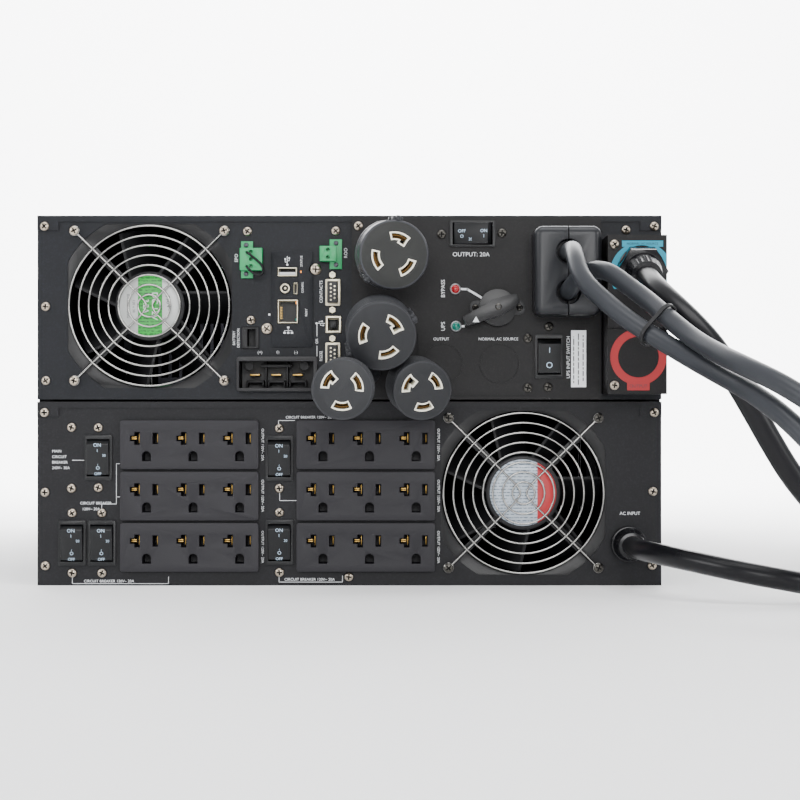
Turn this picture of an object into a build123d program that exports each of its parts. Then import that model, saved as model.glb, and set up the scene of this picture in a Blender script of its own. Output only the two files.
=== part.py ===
from build123d import *
import math
import os

# Stacked pair of 3U rack modules: an online UPS above, its transformer and outlet module below.
# Millimetres, +Z up. The origin is the middle of the lower module's underside, the rear panels
# face -Y and the front bezels face +Y.

# ---- chassis ----
chassis_width = 438.0
chassis_depth = 640.0
module_height = 129.0
stack_gap = 1.6
sheet = 1.2
rear_sheet = 1.5
bezel_depth = 20.0
bezel_wall = 2.5
lid_lip_height = 4.3
lid_tab_width = 15.0
lid_tab_height = 10.5
side_flange = 8.0
vent_slot_width = 3.2
vent_slot_height = 46.0
vent_slot_pitch = 9.0
vent_slot_count = 14
vent_first = 70.0
louvre_height = 3.4
louvre_pitch = 8.0
louvre_length = 120.0
louvre_first = 17.0
louvre_margin = 30.0
louvre_side = 14.0
louvre_shift = 4.0
pad_size = 30.0
pad_inset = 60.0

# ---- rack ears ----
ear_sheet = 2.0
rack_width = 482.6
rack_slot_span = 465.1
rack_slot_pitch = 57.15
rack_slot_radius = 3.4
rack_slot_length = 10.2
ear_side_length = 50.0
ear_margin = 4.0

# ---- fans ----
fan_size = 120.0
fan_thickness = 38.0
fan_hole_pitch = 105.0
fan_bore = 57.5
fan_opening_half = 57.6
fan_opening_radius = 65.5
blade_tip_radius = 56.0
blade_count = 7
blade_pitch = 35.0
blade_thickness = 1.6
upper_hub_radius = 22.7
lower_hub_radius = 24.5
hub_plate = 4.0
strut_width = 5.0
bearing_radius = 5.0
shaft_radius = 2.0
running_gap = 0.05
fan_place_upper = (-140.1, 65.6)
fan_place_lower = (122.0, 65.1)

# ---- wire guards ----
guard_wire = 1.6
guard_ring_first = 7.8
guard_ring_step = 6.9
guard_ring_count = 8
guard_wire_sides = 8
guard_eyelet_radius = 3.9
guard_apex = 4.5
guard_apex_bend = 8.0

# ---- screws ----
screw_head_radius = 3.2
screw_head_height = 1.9
screw_shank_radius = 1.5
screw_shank_length = 5.0
screw_recess_width = 0.9
screw_recess_length = 3.6
fan_screw_radius = 3.4
thumbscrew_radius = 4.0
screw_gap = 0.15
screw_head_round = 0.8
screw_recess_depth = 1.2

# ---- switches and breakers ----
fit_gap = 0.3
switch_flange = 2.0
switch_body_inset = 1.0
switch_body_depth = 30.0
breaker_frame = (19.5, 31.8)
breaker_rocker = (15.4, 25.6)
output_frame = (32.2, 18.5)
output_rocker = (27.3, 14.8)
input_frame = (19.9, 30.7)
input_rocker = (15.8, 24.8)
rocker_tilt = 10.0
rocker_dip = 1.2
rocker_rise = 3.4
pivot_inset = 2.0
pivot_radius = 1.2
pin_reach = 0.8

# ---- outlet strips ----
strip_width = 97.1
strip_height = 34.1
strip_pitch = 35.9
strip_proud = 5.0
strip_body_depth = 28.0
strip_body_inset = 3.0
strip_base = 10.0
strip_left = -160.5
strip_right = -37.0
outlet_pitch = 32.6
outlet_first = 18.6
ground_rise = 9.1
ground_width = 6.2
ground_height = 7.0
blade_rise = 21.5
blade_width = 3.8
neutral_offset = -6.6
neutral_height = 9.0
neutral_arm = 5.0
hot_offset = 6.1
hot_height = 7.9
socket_depth = 16.0

# ---- power distribution housing and its covers ----
pdu_left = 1.8
pdu_right = 175.9
pdu_height = 127.7
pdu_proud = 6.0
pdu_window_inset = 7.0
pdu_window_top_inset = 2.6
wiring_cover_box = (48.0, 128.0, 3.1, 46.7)
knockout_radius = 14.0
knockout_groove = 0.8
knockout_offsets = (17.0, 56.5)
clamp_box = (127.6, 173.8, 57.7, 119.0)
clamp_depth = 30.0
clamp_corner = 6.0
clamp_edge = 5.0
clamp_hole_radius = 8.3
clamp_hole_depth = 12.0
clamp_hole_x = 151.0
clamp_hole_rise = (73.8, 101.5)
clamp_split = 0.4
terminal_left = 177.3
terminal_right = 217.6
terminal_base = 3.6
terminal_top = 112.3
terminal_proud = 40.0
terminal_wall = 2.0
terminal_seam = 48.5
terminal_knockout_radius = 17.0
terminal_knockout_rise = 28.9
terminal_gap = 0.4
feed_inset = 8.0
feed_low = 20.0
feed_high = 90.0

# ---- glands ----
gland_place = (199.6, 89.2)
gland_tilt = 14.0
gland_nut_radius = 17.0
gland_nut_length = 12.0
gland_cap_radius = 12.5
gland_cap_length = 20.0
gland_lead = 25.0
ac_gland_place = (195.5, 29.5)
ac_gland_radius = 12.4
ac_gland_length = 26.0

# ---- bypass selector and lamps ----
knob_place = (103.6, 64.1)
knob_disc_radius = 12.9
knob_disc_height = 4.0
knob_lever_reach = 25.7
knob_lever_tail = 15.0
knob_tip_width = 7.0
knob_waist_width = 12.0
knob_lever_height = 10.0
knob_rest_angle = 203.7
knob_shaft_radius = 4.0
switch_plate_half = 19.5
switch_plate_height = 10.0
selector_body = 34.0
lamp_radius = 3.8
lamp_places = ((74.2, 77.2), (74.7, 51.1))

# ---- locking outlets ----
large_outlet_radius = 23.3
small_outlet_radius = 20.0
locking_length = 50.0
locking_taper_start = 28.0
locking_back_radius = 11.0
neck_radius = 9.0
neck_lead = 0.35
large_slot_circle = 12.6
small_slot_circle = 11.2
slot_width = 3.8
slot_arc = 52.0
slot_depth = 14.0
# face centre (x, forward of the rear panel, height), tilt right, tilt down, slot angles, neck foot
large_outlets = (
    ((31.7, 70.0, 227.2), 7.0, 4.0, (74.0, 196.0, 316.0), (24.0, 231.8)),
    ((23.3, 85.0, 172.2), 3.5, 13.0, (45.0, 172.0, 292.0), (18.6, 190.5)),
)
small_outlets = (
    ((-1.8, 116.0, 137.2), -2.0, 3.0, (148.0, 22.0, 268.0), (13.0, 150.0)),
    ((50.4, 75.0, 136.3), 11.0, 9.0, (155.0, 35.0, 277.0), (36.6, 147.6)),
)

# ---- ports on the upper rear panel, heights above the upper module's base ----
card_box = (-54.9, -25.5, 36.6, 104.0)
card_sheet = 1.0
port_proud = 1.0
port_depth = 14.0
usb_port = (-43.5, 89.5, 13.3, 6.1)
network_port = (-43.1, 61.7, 14.0, 16.4)
micro_port = (-37.7, 77.9, 2.6, 8.0)
round_port = (-45.1, 77.9, 3.4)
serial_places = ((-11.6, 75.1), (-11.6, 30.5))
serial_size = (10.6, 18.8)
serial_shell = (7.4, 16.0)
printer_port = (-11.2, 52.6, 10.8, 11.9)
port_wall = 0.7
terminal_epo = (-75.8, -67.6, 85.0, 110.7)
terminal_epo_plug = (-76.3, -60.8, 90.2, 105.7)
terminal_roo = (-13.8, -5.2, 91.4, 112.1)
terminal_roo_plug = (-20.5, -9.1, 96.6, 107.1)
terminal_flange = 3.0
terminal_plug_depth = 9.0
wire_hole_radius = 1.3
wire_hole_depth = 5.0
jumper_radius = 0.9
sense_box = (-75.4, -63.6, 35.6, 50.7)
sense_hole = (-71.6, -65.9, 37.1, 49.3)
battery_box = (-78.7, -22.2, 5.6, 30.0)
battery_opening = (-76.8, -25.1, 7.9, 26.7)
battery_proud = 8.0
battery_depth = 32.0
battery_cavity = 26.0
contact_x = (-66.6, -51.6, -36.5)
contact_size = (7.0, 14.0, 2.4)

# ---- cords ----
output_cord_diameter = 12.0
input_cord_diameter = 15.0
transformer_cord_diameter = 14.0
connector_radius = 19.5
connector_length = 62.0
plug_radius = 24.0
plug_length = 68.0
plug_edge = 3.0
coil_diameters = 11.0
coil_layers = 2.1
coil_height = 1.9
coil_corner = 0.45
tie_thickness = 1.2
tie_width = 2.6
tie_gap = 1.0

# Routes as control points. Each arc takes 45% of the shorter run beside its corner.
upper_lead_route = [
    (151.0, -384, 232.1), (149.8, -413, 226.0), (151.5, -440, 208.5), (164.5, -464, 192.5),
    (179.3, -484, 177.9), (197.4, -502, 165.0), (212.4, -524, 153.6), (224.4, -550, 144.3),
    (236.4, -582, 134.8), (253, -614, 118), (275, -642, 88), (301, -655, 52), (331, -652, 22),
    (361, -640, 8), (391, -630, 6.2), (417, -612, 6.2), (436, -586, 7), (446, -559, 13),
    (449, -531, 19.5),
]
lower_lead_route = [
    (151.3, -378, 207.6), (158.5, -399, 215.5), (169.4, -424, 215.4), (182.2, -448, 202.3),
    (192.3, -470, 191.6), (200.7, -496, 179.9), (211.0, -522, 167.5), (220.4, -550, 158.4),
    (232.5, -582, 149.5), (252, -614, 137), (279, -642, 114), (310, -660, 84), (341, -668, 51),
    (370, -669, 24), (399, -663, 9), (428, -651, 6.2), (454, -633, 6.2), (474, -608, 6.2),
    (487, -580, 7), (493, -553, 13), (495, -526, 19.5),
]
input_route = [
    (206.8, -445, 195.0), (219.0, -464, 180.2), (231.8, -474, 164.0),
    (243.0, -478, 145.2), (254.8, -478, 125.2), (267, -476, 104), (281, -472, 82),
    (300, -468, 60), (321, -463, 39), (344, -455.5, 22), (364, -441, 11.5), (379.3, -420, 8.0),
    (387.3, -395, 7.6), (387.6, -368, 7.6), (386.4, -341, 7.6),
]
transformer_route = [
    (195.5, -373, 29.5), (203.5, -401, 29.0), (218.5, -424, 27.0), (236.8, -441, 23.8),
    (257.3, -452, 20.0), (280, -454, 16.0), (302, -447, 11.5), (320, -432, 8.2), (333, -411, 7.2),
    (340, -387, 7.1), (343, -360, 7.1), (342, -330, 7.1), (339, -298, 7.1), (341, -264, 7.1),
    (348, -230, 7.1), (359, -198, 7.1), (371, -168, 7.1), (385, -139, 7.1), (394, -109, 7.1),
]
input_coil_centre = (468.5, -262.0)
transformer_coil_centre = (474.0, -37.0)
upper_connector_foot = (449.0, -503.0)
lower_connector_foot = (495.0, -498.0)

# ---- front panel ----
screen_size = (66.0, 34.0)
screen_thickness = 2.0
screen_place = (-70.0, 70.0)
button_radius = 5.0
button_travel = 1.5
button_proud = 1.5
button_length = 9.0
button_flange = 1.2
button_places = ((-10.0, 70.0), (12.0, 70.0))

# ---- inner parts ----
board_thickness = 1.6
board_clearance = 8.0
board_rear_gap = 70.0
board_front_gap = 60.0
capacitor_radius = 15.0
capacitor_height = 60.0
capacitor_first = -60.0
capacitor_pitch = 38.0
capacitor_front_gap = 100.0
choke_first = 40.0
choke_pitch = 50.0
choke_width = 30.0
choke_height = 28.0
choke_rear = (110.0, 150.0)
heatsink_size = (60.0, 260.0, 70.0)
heatsink_base = 6.0
heatsink_fin = 2.5
heatsink_fin_pitch = 8.0
heatsink_places = ((-120.0, -60.0), (-20.0, -60.0))
core_size = (120.0, 90.0, 96.0)
core_limb = 24.0
coil_build = 20.0
core_place = (-60.0, 60.0)
core_gap = 0.5

# ---- derived ----
half_width = chassis_width / 2
rear_y = -chassis_depth / 2
front_y = chassis_depth / 2
bezel_y = front_y - bezel_depth
upper_base = module_height + stack_gap
lid_front_y = rear_y - sheet
pdu_y = rear_y - pdu_proud
clamp_y = pdu_y - clamp_depth
terminal_y = rear_y - terminal_proud
pan_y = rear_y + rear_sheet

written = []


def save(name, *solids):
    """Write one sub-part, made of one or more solids, to its own STEP file."""
    shape = solids[0] if len(solids) == 1 else Compound(children=list(solids))
    shape.label = name
    export_step(shape, "parts/" + name + ".step")
    written.append(name)


def block(x0, x1, y0, y1, z0, z1):
    middle = ((x0 + x1) / 2, (y0 + y1) / 2, (z0 + z1) / 2)
    return Pos(*middle) * Box(abs(x1 - x0), abs(y1 - y0), abs(z1 - z0))


def prism(sketch, y_near, y_far):
    """Extrude a sketch drawn in X and Z from y_far towards the viewer at the rear, to y_near."""
    return extrude(Plane.XZ.offset(-y_far) * sketch, amount=y_far - y_near)


def rod(x, z, radius, y_near, y_far):
    return prism(Pos(x, z) * Circle(radius), y_near, y_far)


def rounded(x0, x1, z0, z1, radius):
    middle = Pos((x0 + x1) / 2, (z0 + z1) / 2)
    return middle * RectangleRounded(abs(x1 - x0), abs(z1 - z0), radius)


def raised(places, base):
    """Places given as (x, height above a module's base), as (x, z)."""
    return [(x, base + z) for x, z in places]


def from_list(pieces):
    shape = pieces[0]
    for piece in pieces[1:]:
        shape = shape + piece
    return shape


# ---- where the screws go: (x, z) on each face ----

strip_columns = (strip_left, strip_right)
strip_rows = [strip_base + row * strip_pitch for row in range(3)]
main_breaker = (-176.2, 89.7)
lower_breakers = (main_breaker, (-194.6, 29.8), (-173.7, 29.8), (-49.2, 89.2), (-49.1, 30.2))
output_breaker = (86.2, upper_base + 115.9)
input_switch = (139.7, upper_base + 29.9)
fan_places = (
    (fan_place_upper[0], upper_base + fan_place_upper[1]),
    fan_place_lower,
)
tab_screw_x = half_width - 5.2
tab_screw_drop = 7.6
breaker_screw_rise = 21.0
upper_panel_screws = raised(
    ((-213.2, 65.2), (-213.0, 13.2), (-71.6, 117.9), (-69.1, 55.6), (-9.6, 118.2), (194.1, 118.9)),
    upper_base,
)
pdu_screws = raised(((6.4, 121.2), (64.6, 115.4), (106.7, 116.3)), upper_base)
switch_screws = raised(((139.6, 50.9), (139.0, 8.6)), upper_base)
cover_screws = raised(((124.8, 42.7), (124.7, 8.1)), upper_base)
knob_screw_spread = 15.5
knob_screws = [(knob_place[0] + side * knob_screw_spread, upper_base + knob_place[1]) for side in (-1, 1)]
terminal_screws = raised(((181.7, 105.8), (181.7, 9.6)), upper_base)
thumbscrews = raised(((-57.9, 49.6), (-23.6, 91.4)), upper_base)
lower_edge_screws = [(-213.6, 65.4), (-213.4, 13.8), (-0.4, 6.1), (213.0, 66.0), (212.5, 14.2)]
lower_breaker_screws = [
    (x, z + side * breaker_screw_rise) for x, z in lower_breakers for side in (-1, 1)
]
tab_screws_upper = [(side * tab_screw_x, upper_base + module_height - tab_screw_drop) for side in (-1, 1)]
tab_screws_lower = [(side * tab_screw_x, module_height - tab_screw_drop) for side in (-1, 1)]


def fan_screws(place):
    half = fan_hole_pitch / 2
    return [(place[0] + a * half, place[1] + b * half) for a in (-1, 1) for b in (-1, 1)]


def fan_opening(place):
    square = Rectangle(2 * fan_opening_half, 2 * fan_opening_half)
    return Pos(*place) * (square & Circle(fan_opening_radius))


def screw_holes(places, y_near, y_far):
    return [rod(x, z, screw_shank_radius + screw_gap, y_near, y_far) for x, z in places]


def screw(x, z, y, radius):
    """Pan head screw whose head rests on the face at y, with a cross recess."""
    head = rod(x, z, radius, y - screw_head_height, y)
    head = fillet(head.faces().sort_by(Axis.Y)[0].edges(), screw_head_round)
    shank = rod(x, z, screw_shank_radius, y - 0.2, y + screw_shank_length)
    top = y - screw_head_height
    across = block(
        x - screw_recess_length / 2, x + screw_recess_length / 2, top, top + screw_recess_depth,
        z - screw_recess_width / 2, z + screw_recess_width / 2,
    )
    upright = block(
        x - screw_recess_width / 2, x + screw_recess_width / 2, top, top + screw_recess_depth,
        z - screw_recess_length / 2, z + screw_recess_length / 2,
    )
    return head + shank - across - upright


# ---- chassis ----


def make_pan(base):
    inside = half_width - sheet
    top = base + module_height - sheet
    pan = block(-half_width, half_width, pan_y, bezel_y, base, base + sheet)
    for side in (-1, 1):
        pan += block(side * inside, side * half_width, pan_y, bezel_y, base, top)
    slots = []
    middle = base + module_height / 2
    for number in range(vent_slot_count):
        y = bezel_y - vent_first - number * vent_slot_pitch
        slot = block(
            -half_width - 1, half_width + 1, y - vent_slot_width / 2, y + vent_slot_width / 2,
            middle - vent_slot_height / 2, middle + vent_slot_height / 2,
        )
        slots.append(slot)
    return pan - slots


def make_lid(base, tab_screws):
    top = base + module_height
    lid = block(-half_width, half_width, lid_front_y, bezel_y, top - sheet, top)
    lid += block(-half_width, half_width, lid_front_y, rear_y, top - lid_lip_height, top)
    inside = half_width - sheet - fit_gap
    for side in (-1, 1):
        tab_inner = side * (half_width - lid_tab_width)
        lid += block(tab_inner, side * half_width, lid_front_y, rear_y, top - lid_tab_height, top)
        flange_top = top - sheet
        flange_bottom = top - side_flange
        inner = side * (inside - sheet)
        lid += block(inner, side * inside, pan_y + 1, bezel_y - 1, flange_bottom, flange_top)
    return lid - screw_holes(tab_screws, lid_front_y - 1, rear_y)


def make_panel(base, cuts, screws):
    top = base + module_height - sheet
    panel = block(-half_width, half_width, rear_y, pan_y, base, top)
    return panel - cuts - screw_holes(screws, rear_y - 1, pan_y + 1)


def cutout(x0, x1, z0, z1):
    """Panel cut-out with clearance round a body that passes through it."""
    return block(
        x0 - fit_gap, x1 + fit_gap, rear_y - 1, pan_y + 1, z0 - fit_gap, z1 + fit_gap,
    )


def make_upper_panel():
    cuts = [prism(fan_opening(fan_places[0]), rear_y - 1, pan_y + 1)]
    for box in (card_inner(), serial_box(0), serial_box(1), port_box(printer_port)):
        cuts.append(cutout(*box))
    for box in (terminal_epo_plug, terminal_roo_plug, sense_box, battery_body()):
        cuts.append(cutout(box[0], box[1], upper_base + box[2], upper_base + box[3]))
    window_top = upper_base + pdu_height - pdu_window_top_inset
    window_base = upper_base + pdu_window_inset
    cuts.append(cutout(pdu_left + pdu_window_inset, pdu_right - pdu_window_inset, window_base, window_top))
    feed = (
        terminal_left + feed_inset, terminal_right - feed_inset, upper_base + feed_low, upper_base + feed_high,
    )
    cuts.append(cutout(*feed))
    screws = upper_panel_screws + tab_screws_upper + thumbscrews + fan_screws(fan_places[0])
    return make_panel(upper_base, cuts, screws)


def make_lower_panel():
    cuts = [prism(fan_opening(fan_places[1]), rear_y - 1, pan_y + 1)]
    for x, z in lower_breakers:
        half_x = breaker_frame[0] / 2 - switch_body_inset
        half_z = breaker_frame[1] / 2 - switch_body_inset
        cuts.append(cutout(x - half_x, x + half_x, z - half_z, z + half_z))
    for left in strip_columns:
        for low in strip_rows:
            inset = strip_body_inset
            right = left + strip_width
            cuts.append(cutout(left + inset, right - inset, low + inset, low + strip_height - inset))
    cuts.append(rod(*ac_gland_place, ac_gland_radius - 2 + fit_gap, rear_y - 1, pan_y + 1))
    screws = lower_edge_screws + lower_breaker_screws + tab_screws_lower + fan_screws(fan_places[1])
    return make_panel(0.0, cuts, screws)


def make_bezel(base, with_controls):
    top = base + module_height
    shell = block(-half_width, half_width, bezel_y, front_y, base, top)
    wall = bezel_wall
    inner = half_width - wall
    shell -= block(-inner, inner, bezel_y - 1, front_y - wall, base + wall, top - wall)
    cuts = []
    rows = int((module_height - louvre_margin) // louvre_pitch)
    for side in (-1, 1):
        middle = side * (half_width - louvre_length / 2 - louvre_side)
        if with_controls and side < 0:
            middle -= louvre_shift
        for row in range(rows):
            z = base + louvre_first + row * louvre_pitch
            half = louvre_length / 2
            low = z - louvre_height / 2
            cuts.append(block(middle - half, middle + half, front_y - wall - 1, front_y + 1, low, low + louvre_height))
    if with_controls:
        x, z = screen_place[0], base + screen_place[1]
        width, height = screen_size
        cuts.append(
            block(x - width / 2, x + width / 2, front_y - wall - 1, front_y + 1, z - height / 2, z + height / 2)
        )
        for x, z in raised(button_places, base):
            cuts.append(rod(x, z, button_radius + fit_gap, front_y - wall - 1, front_y + 1))
    return shell - cuts


def make_screen():
    x, z = screen_place[0], upper_base + screen_place[1]
    width, height = screen_size
    back = front_y - bezel_wall
    glass = block(x - width / 2 - 3, x + width / 2 + 3, back - screen_thickness, back, z - height / 2 - 3, z + height / 2 + 3)
    return glass


def make_button(place):
    x, z = place[0], upper_base + place[1]
    tip = front_y + button_proud
    cap = rod(x, z, button_radius, tip - button_length, tip)
    cap = fillet(cap.faces().sort_by(Axis.Y)[-1].edges(), 0.6)
    back = front_y - bezel_wall
    return cap + rod(x, z, button_radius + 1.5, back - button_flange - fit_gap, back - fit_gap)


def make_ears():
    ears = []
    for base in (0.0, upper_base):
        for side in (-1, 1):
            low = base + ear_margin
            high = base + module_height - ear_margin
            inner = side * half_width
            plate = block(inner, side * (half_width + ear_sheet), bezel_y - ear_side_length, bezel_y, low, high)
            flange_y = bezel_y - ear_sheet
            ear = plate + block(inner, side * rack_width / 2, flange_y, bezel_y, low, high)
            middle = base + module_height / 2
            for up in (-1, 1):
                place = Pos(side * rack_slot_span / 2, middle + up * rack_slot_pitch / 2)
                slot = place * SlotOverall(rack_slot_length, 2 * rack_slot_radius)
                ear -= prism(slot, flange_y - 1, bezel_y + 1)
            ears.append(ear)
    return ears


def make_pads():
    """Two pads at the rear and one strip right across the front, between the two modules."""
    half = pad_size / 2
    across = half_width - pad_inset
    along = front_y - pad_inset
    pads = [block(-half_width + 4, half_width - 4, along - half, along + half, module_height, upper_base)]
    for x in (-across, across):
        pads.append(block(x - half, x + half, -along - half, -along + half, module_height, upper_base))
    return pads


# ---- fans ----


def make_fan_frame(place, hub_radius):
    x, z = place
    far = pan_y + fan_thickness
    frame = prism(rounded(x - fan_size / 2, x + fan_size / 2, z - fan_size / 2, z + fan_size / 2, 5), pan_y, far)
    frame -= rod(x, z, fan_bore, pan_y - 1, far + 1)
    struts = from_list([Rot(0, 0, angle) * Rectangle(2 * fan_bore + 4, strut_width) for angle in (45, 135)])
    frame += prism(Pos(x, z) * struts, pan_y, pan_y + hub_plate)
    frame += rod(x, z, hub_radius, pan_y, pan_y + hub_plate)
    frame += rod(x, z, bearing_radius, pan_y, pan_y + fan_thickness / 2)
    frame -= rod(x, z, shaft_radius + running_gap, pan_y + 2, far)
    for a, b in fan_screws(place):
        frame -= rod(a, b, screw_shank_radius + screw_gap, pan_y - 1, far + 1)
    return frame


def make_fan_rotor(place, hub_radius):
    x, z = place
    near = pan_y + hub_plate + 2
    far = pan_y + fan_thickness - 3
    cup_wall = 2.0
    hub = rod(x, z, hub_radius, near, far) - rod(x, z, hub_radius - cup_wall, near - 1, far - 4)
    hub += rod(x, z, shaft_radius, pan_y + 4, far)
    middle = (near + far) / 2
    annulus = rod(x, z, blade_tip_radius, near, far) - rod(x, z, hub_radius - cup_wall / 2, near - 1, far + 1)
    reach = blade_tip_radius - hub_radius + 6
    blade = Box(reach, blade_thickness, 2 * (far - near))
    blade = Rot(90 - blade_pitch, 0, 0) * blade
    blade = Pos(hub_radius + reach / 2 - 3, 0, 0) * blade
    for number in range(blade_count):
        turned = Rot(0, number * 360 / blade_count, 0) * blade
        hub += (Pos(x, middle, z) * turned) & annulus
    return hub


def wire_ring(radius, wire):
    """Ring of many-sided wire round the Y axis."""
    section = Pos(radius, 0) * RegularPolygon(wire, guard_wire_sides)
    return revolve(Plane.XY * section, axis=Axis.Y)


def make_guard(place):
    x, z = place
    ring_y = rear_y - 2.6 * guard_wire
    spoke_y = ring_y + 0.75 * guard_wire
    wire = guard_wire / 2
    radii = [guard_ring_first + guard_ring_step * number for number in range(guard_ring_count)]
    guard = from_list([Pos(x, ring_y, z) * wire_ring(radius, wire) for radius in radii])
    corner = fan_hole_pitch / 2
    near = corner - guard_eyelet_radius * 0.7
    for side in (-1, 1):
        ends = [(side * near, near), (side * guard_apex, 0), (side * near, -near)]
        path = FilletPolyline(*[(x + a, spoke_y, z + b) for a, b in ends], radius=guard_apex_bend)
        section = Plane(path @ 0, z_dir=path % 0) * RegularPolygon(wire, guard_wire_sides)
        guard += sweep(section, path=path)
    for a in (-1, 1):
        for b in (-1, 1):
            eyelet = wire_ring(guard_eyelet_radius - wire, wire)
            guard += Pos(x + a * corner, spoke_y, z + b * corner) * eyelet
    return guard


# ---- switches ----


def rocker_radius(size):
    return size / 2


def rocker_pivot_y(face_y):
    return face_y + pivot_inset


def turned_for(axis, shape, place):
    """Shapes are drawn with the pivot along X, and turned when the pivot is upright."""
    if axis == "x":
        return shape
    x, z = place
    return Pos(x, 0, z) * Rot(0, 90, 0) * Pos(-x, 0, -z) * shape


def switch_body(place, face_y, frame, rocker, axis):
    x, z = place
    width, height = frame if axis == "x" else (frame[1], frame[0])
    long = max(rocker)
    short = min(rocker)
    body = prism(rounded(x - width / 2, x + width / 2, z - height / 2, z + height / 2, 1), face_y - switch_flange, face_y)
    inset = switch_body_inset
    body += block(
        x - width / 2 + inset, x + width / 2 - inset, face_y - 0.1, face_y + switch_body_depth,
        z - height / 2 + inset, z + height / 2 - inset,
    )
    pivot_y = rocker_pivot_y(face_y)
    radius = rocker_radius(long) + fit_gap
    half = short / 2 + fit_gap
    drum = Pos(x, pivot_y, z) * Rot(0, 90, 0) * Cylinder(radius, 2 * half)
    mouth = block(x - half, x + half, face_y - switch_flange - 1, pivot_y, z - radius, z + radius)
    pin = Pos(x, pivot_y, z) * Rot(0, 90, 0) * Cylinder(pivot_radius + running_gap, short + 3)
    return turned_for(axis, body - drum - mouth - pin, place)


def make_rocker(place, face_y, rocker, axis):
    """Drum-ended rocker with a shallow V front, on its pin, resting tilted to its off side."""
    x, z = place
    pivot_y = rocker_pivot_y(face_y)
    radius = rocker_radius(max(rocker))
    half = min(rocker) / 2
    drum = Pos(x, pivot_y, z) * Rot(0, 90, 0) * Cylinder(radius, 2 * half)
    keep = block(x - half, x + half, pivot_y - 3 * rocker_rise, pivot_y + 5, z - radius, z + radius)
    crest = pivot_y - switch_flange - pivot_inset - rocker_rise
    front = Polyline(
        (z - radius - 1, crest), (z, crest + rocker_dip), (z + radius + 1, crest),
        (z + radius + 1, crest - 20), (z - radius - 1, crest - 20), close=True,
    )
    plane = Plane(origin=(x - half - 1, 0, 0), x_dir=(0, 0, 1), z_dir=(-1, 0, 0))
    waste = extrude(plane * make_face(front), amount=-2 * half - 2)
    body = (drum & keep) - waste
    body += Pos(x, pivot_y, z) * Rot(0, 90, 0) * Cylinder(pivot_radius, 2 * (half + pin_reach))
    body = Pos(x, pivot_y, z) * Rot(rocker_tilt, 0, 0) * Pos(-x, -pivot_y, -z) * body
    return turned_for(axis, body, place)


# ---- outlet strips ----


def make_strip(left, low):
    face = rear_y - strip_proud
    strip = prism(rounded(left, left + strip_width, low, low + strip_height, 2), face, rear_y)
    inset = strip_body_inset
    strip += block(
        left + inset, left + strip_width - inset, rear_y - 0.1, rear_y + strip_body_depth,
        low + inset, low + strip_height - inset,
    )
    holes = []
    for number in range(3):
        x = left + outlet_first + number * outlet_pitch
        z = low + ground_rise
        half = ground_width / 2
        straight = ground_height - half
        ground = Pos(x, z - ground_height / 2 + straight / 2) * Rectangle(ground_width, straight)
        ground += Pos(x, z + ground_height / 2 - half) * Circle(half)
        z = low + blade_rise
        neutral = Pos(x + neutral_offset, z) * Rectangle(blade_width, neutral_height)
        neutral += Pos(x + neutral_offset - neutral_arm / 2, z) * Rectangle(neutral_arm, blade_width)
        hot = Pos(x + hot_offset, z) * Rectangle(blade_width, hot_height)
        for shape in (ground, neutral, hot):
            holes.append(prism(shape, face - 1, face + socket_depth))
    return strip - holes


# ---- ports ----


def card_inner():
    inset = 2.0
    x0, x1, z0, z1 = card_box
    return (x0 + inset, x1 - inset, upper_base + z0 + inset, upper_base + z1 - inset)


def port_box(port):
    x, z, width, height = port
    z += upper_base
    return (x - width / 2, x + width / 2, z - height / 2, z + height / 2)


def serial_box(number):
    x, z = serial_places[number]
    return port_box((x, z, *serial_shell))


def make_card_plate():
    x0, x1, z0, z1 = card_box
    z0 += upper_base
    z1 += upper_base
    plate = prism(rounded(x0, x1, z0, z1, 1.5), rear_y - card_sheet, rear_y)
    for port in (usb_port, network_port, micro_port):
        box = port_box(port)
        plate -= block(
            box[0] - fit_gap, box[1] + fit_gap, rear_y - 5, rear_y + 1, box[2] - fit_gap, box[3] + fit_gap,
        )
    x, z, radius = round_port
    plate -= rod(x, upper_base + z, radius + fit_gap, rear_y - 5, rear_y + 1)
    for hole_x, hole_z in thumbscrews:
        plate -= rod(hole_x, hole_z, thumbscrew_radius + 0.5, rear_y - 5, rear_y + 1)
    return plate


def socket_shell(box, y_near, depth, wall):
    """Open-fronted tube of rectangular section with a closed back."""
    x0, x1, z0, z1 = box
    shell = block(x0, x1, y_near, y_near + depth, z0, z1)
    return shell - block(x0 + wall, x1 - wall, y_near - 1, y_near + depth - 2, z0 + wall, z1 - wall)


def make_ports():
    near = rear_y - card_sheet - port_proud
    ports = [socket_shell(port_box(port), near, port_depth, port_wall) for port in (usb_port, network_port)]
    ports.append(socket_shell(port_box(micro_port), near, 8.0, 0.4))
    x, z, radius = round_port
    jack = rod(x, upper_base + z, radius, near, near + port_depth)
    ports.append(jack - rod(x, upper_base + z, radius - 1.1, near - 1, near + port_depth - 2))
    near = rear_y - port_proud
    ports.append(socket_shell(port_box(printer_port), near, port_depth, 1.4))
    for number, (x, z) in enumerate(serial_places):
        flange = prism(
            rounded(x - serial_size[0] / 2, x + serial_size[0] / 2, upper_base + z - serial_size[1] / 2,
                    upper_base + z + serial_size[1] / 2, 1),
            near, rear_y,
        )
        x0, x1, z0, z1 = serial_box(number)
        body = block(x0, x1, near - 5, rear_y + port_depth, z0, z1)
        ports.append(flange + body)
    return ports


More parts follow.
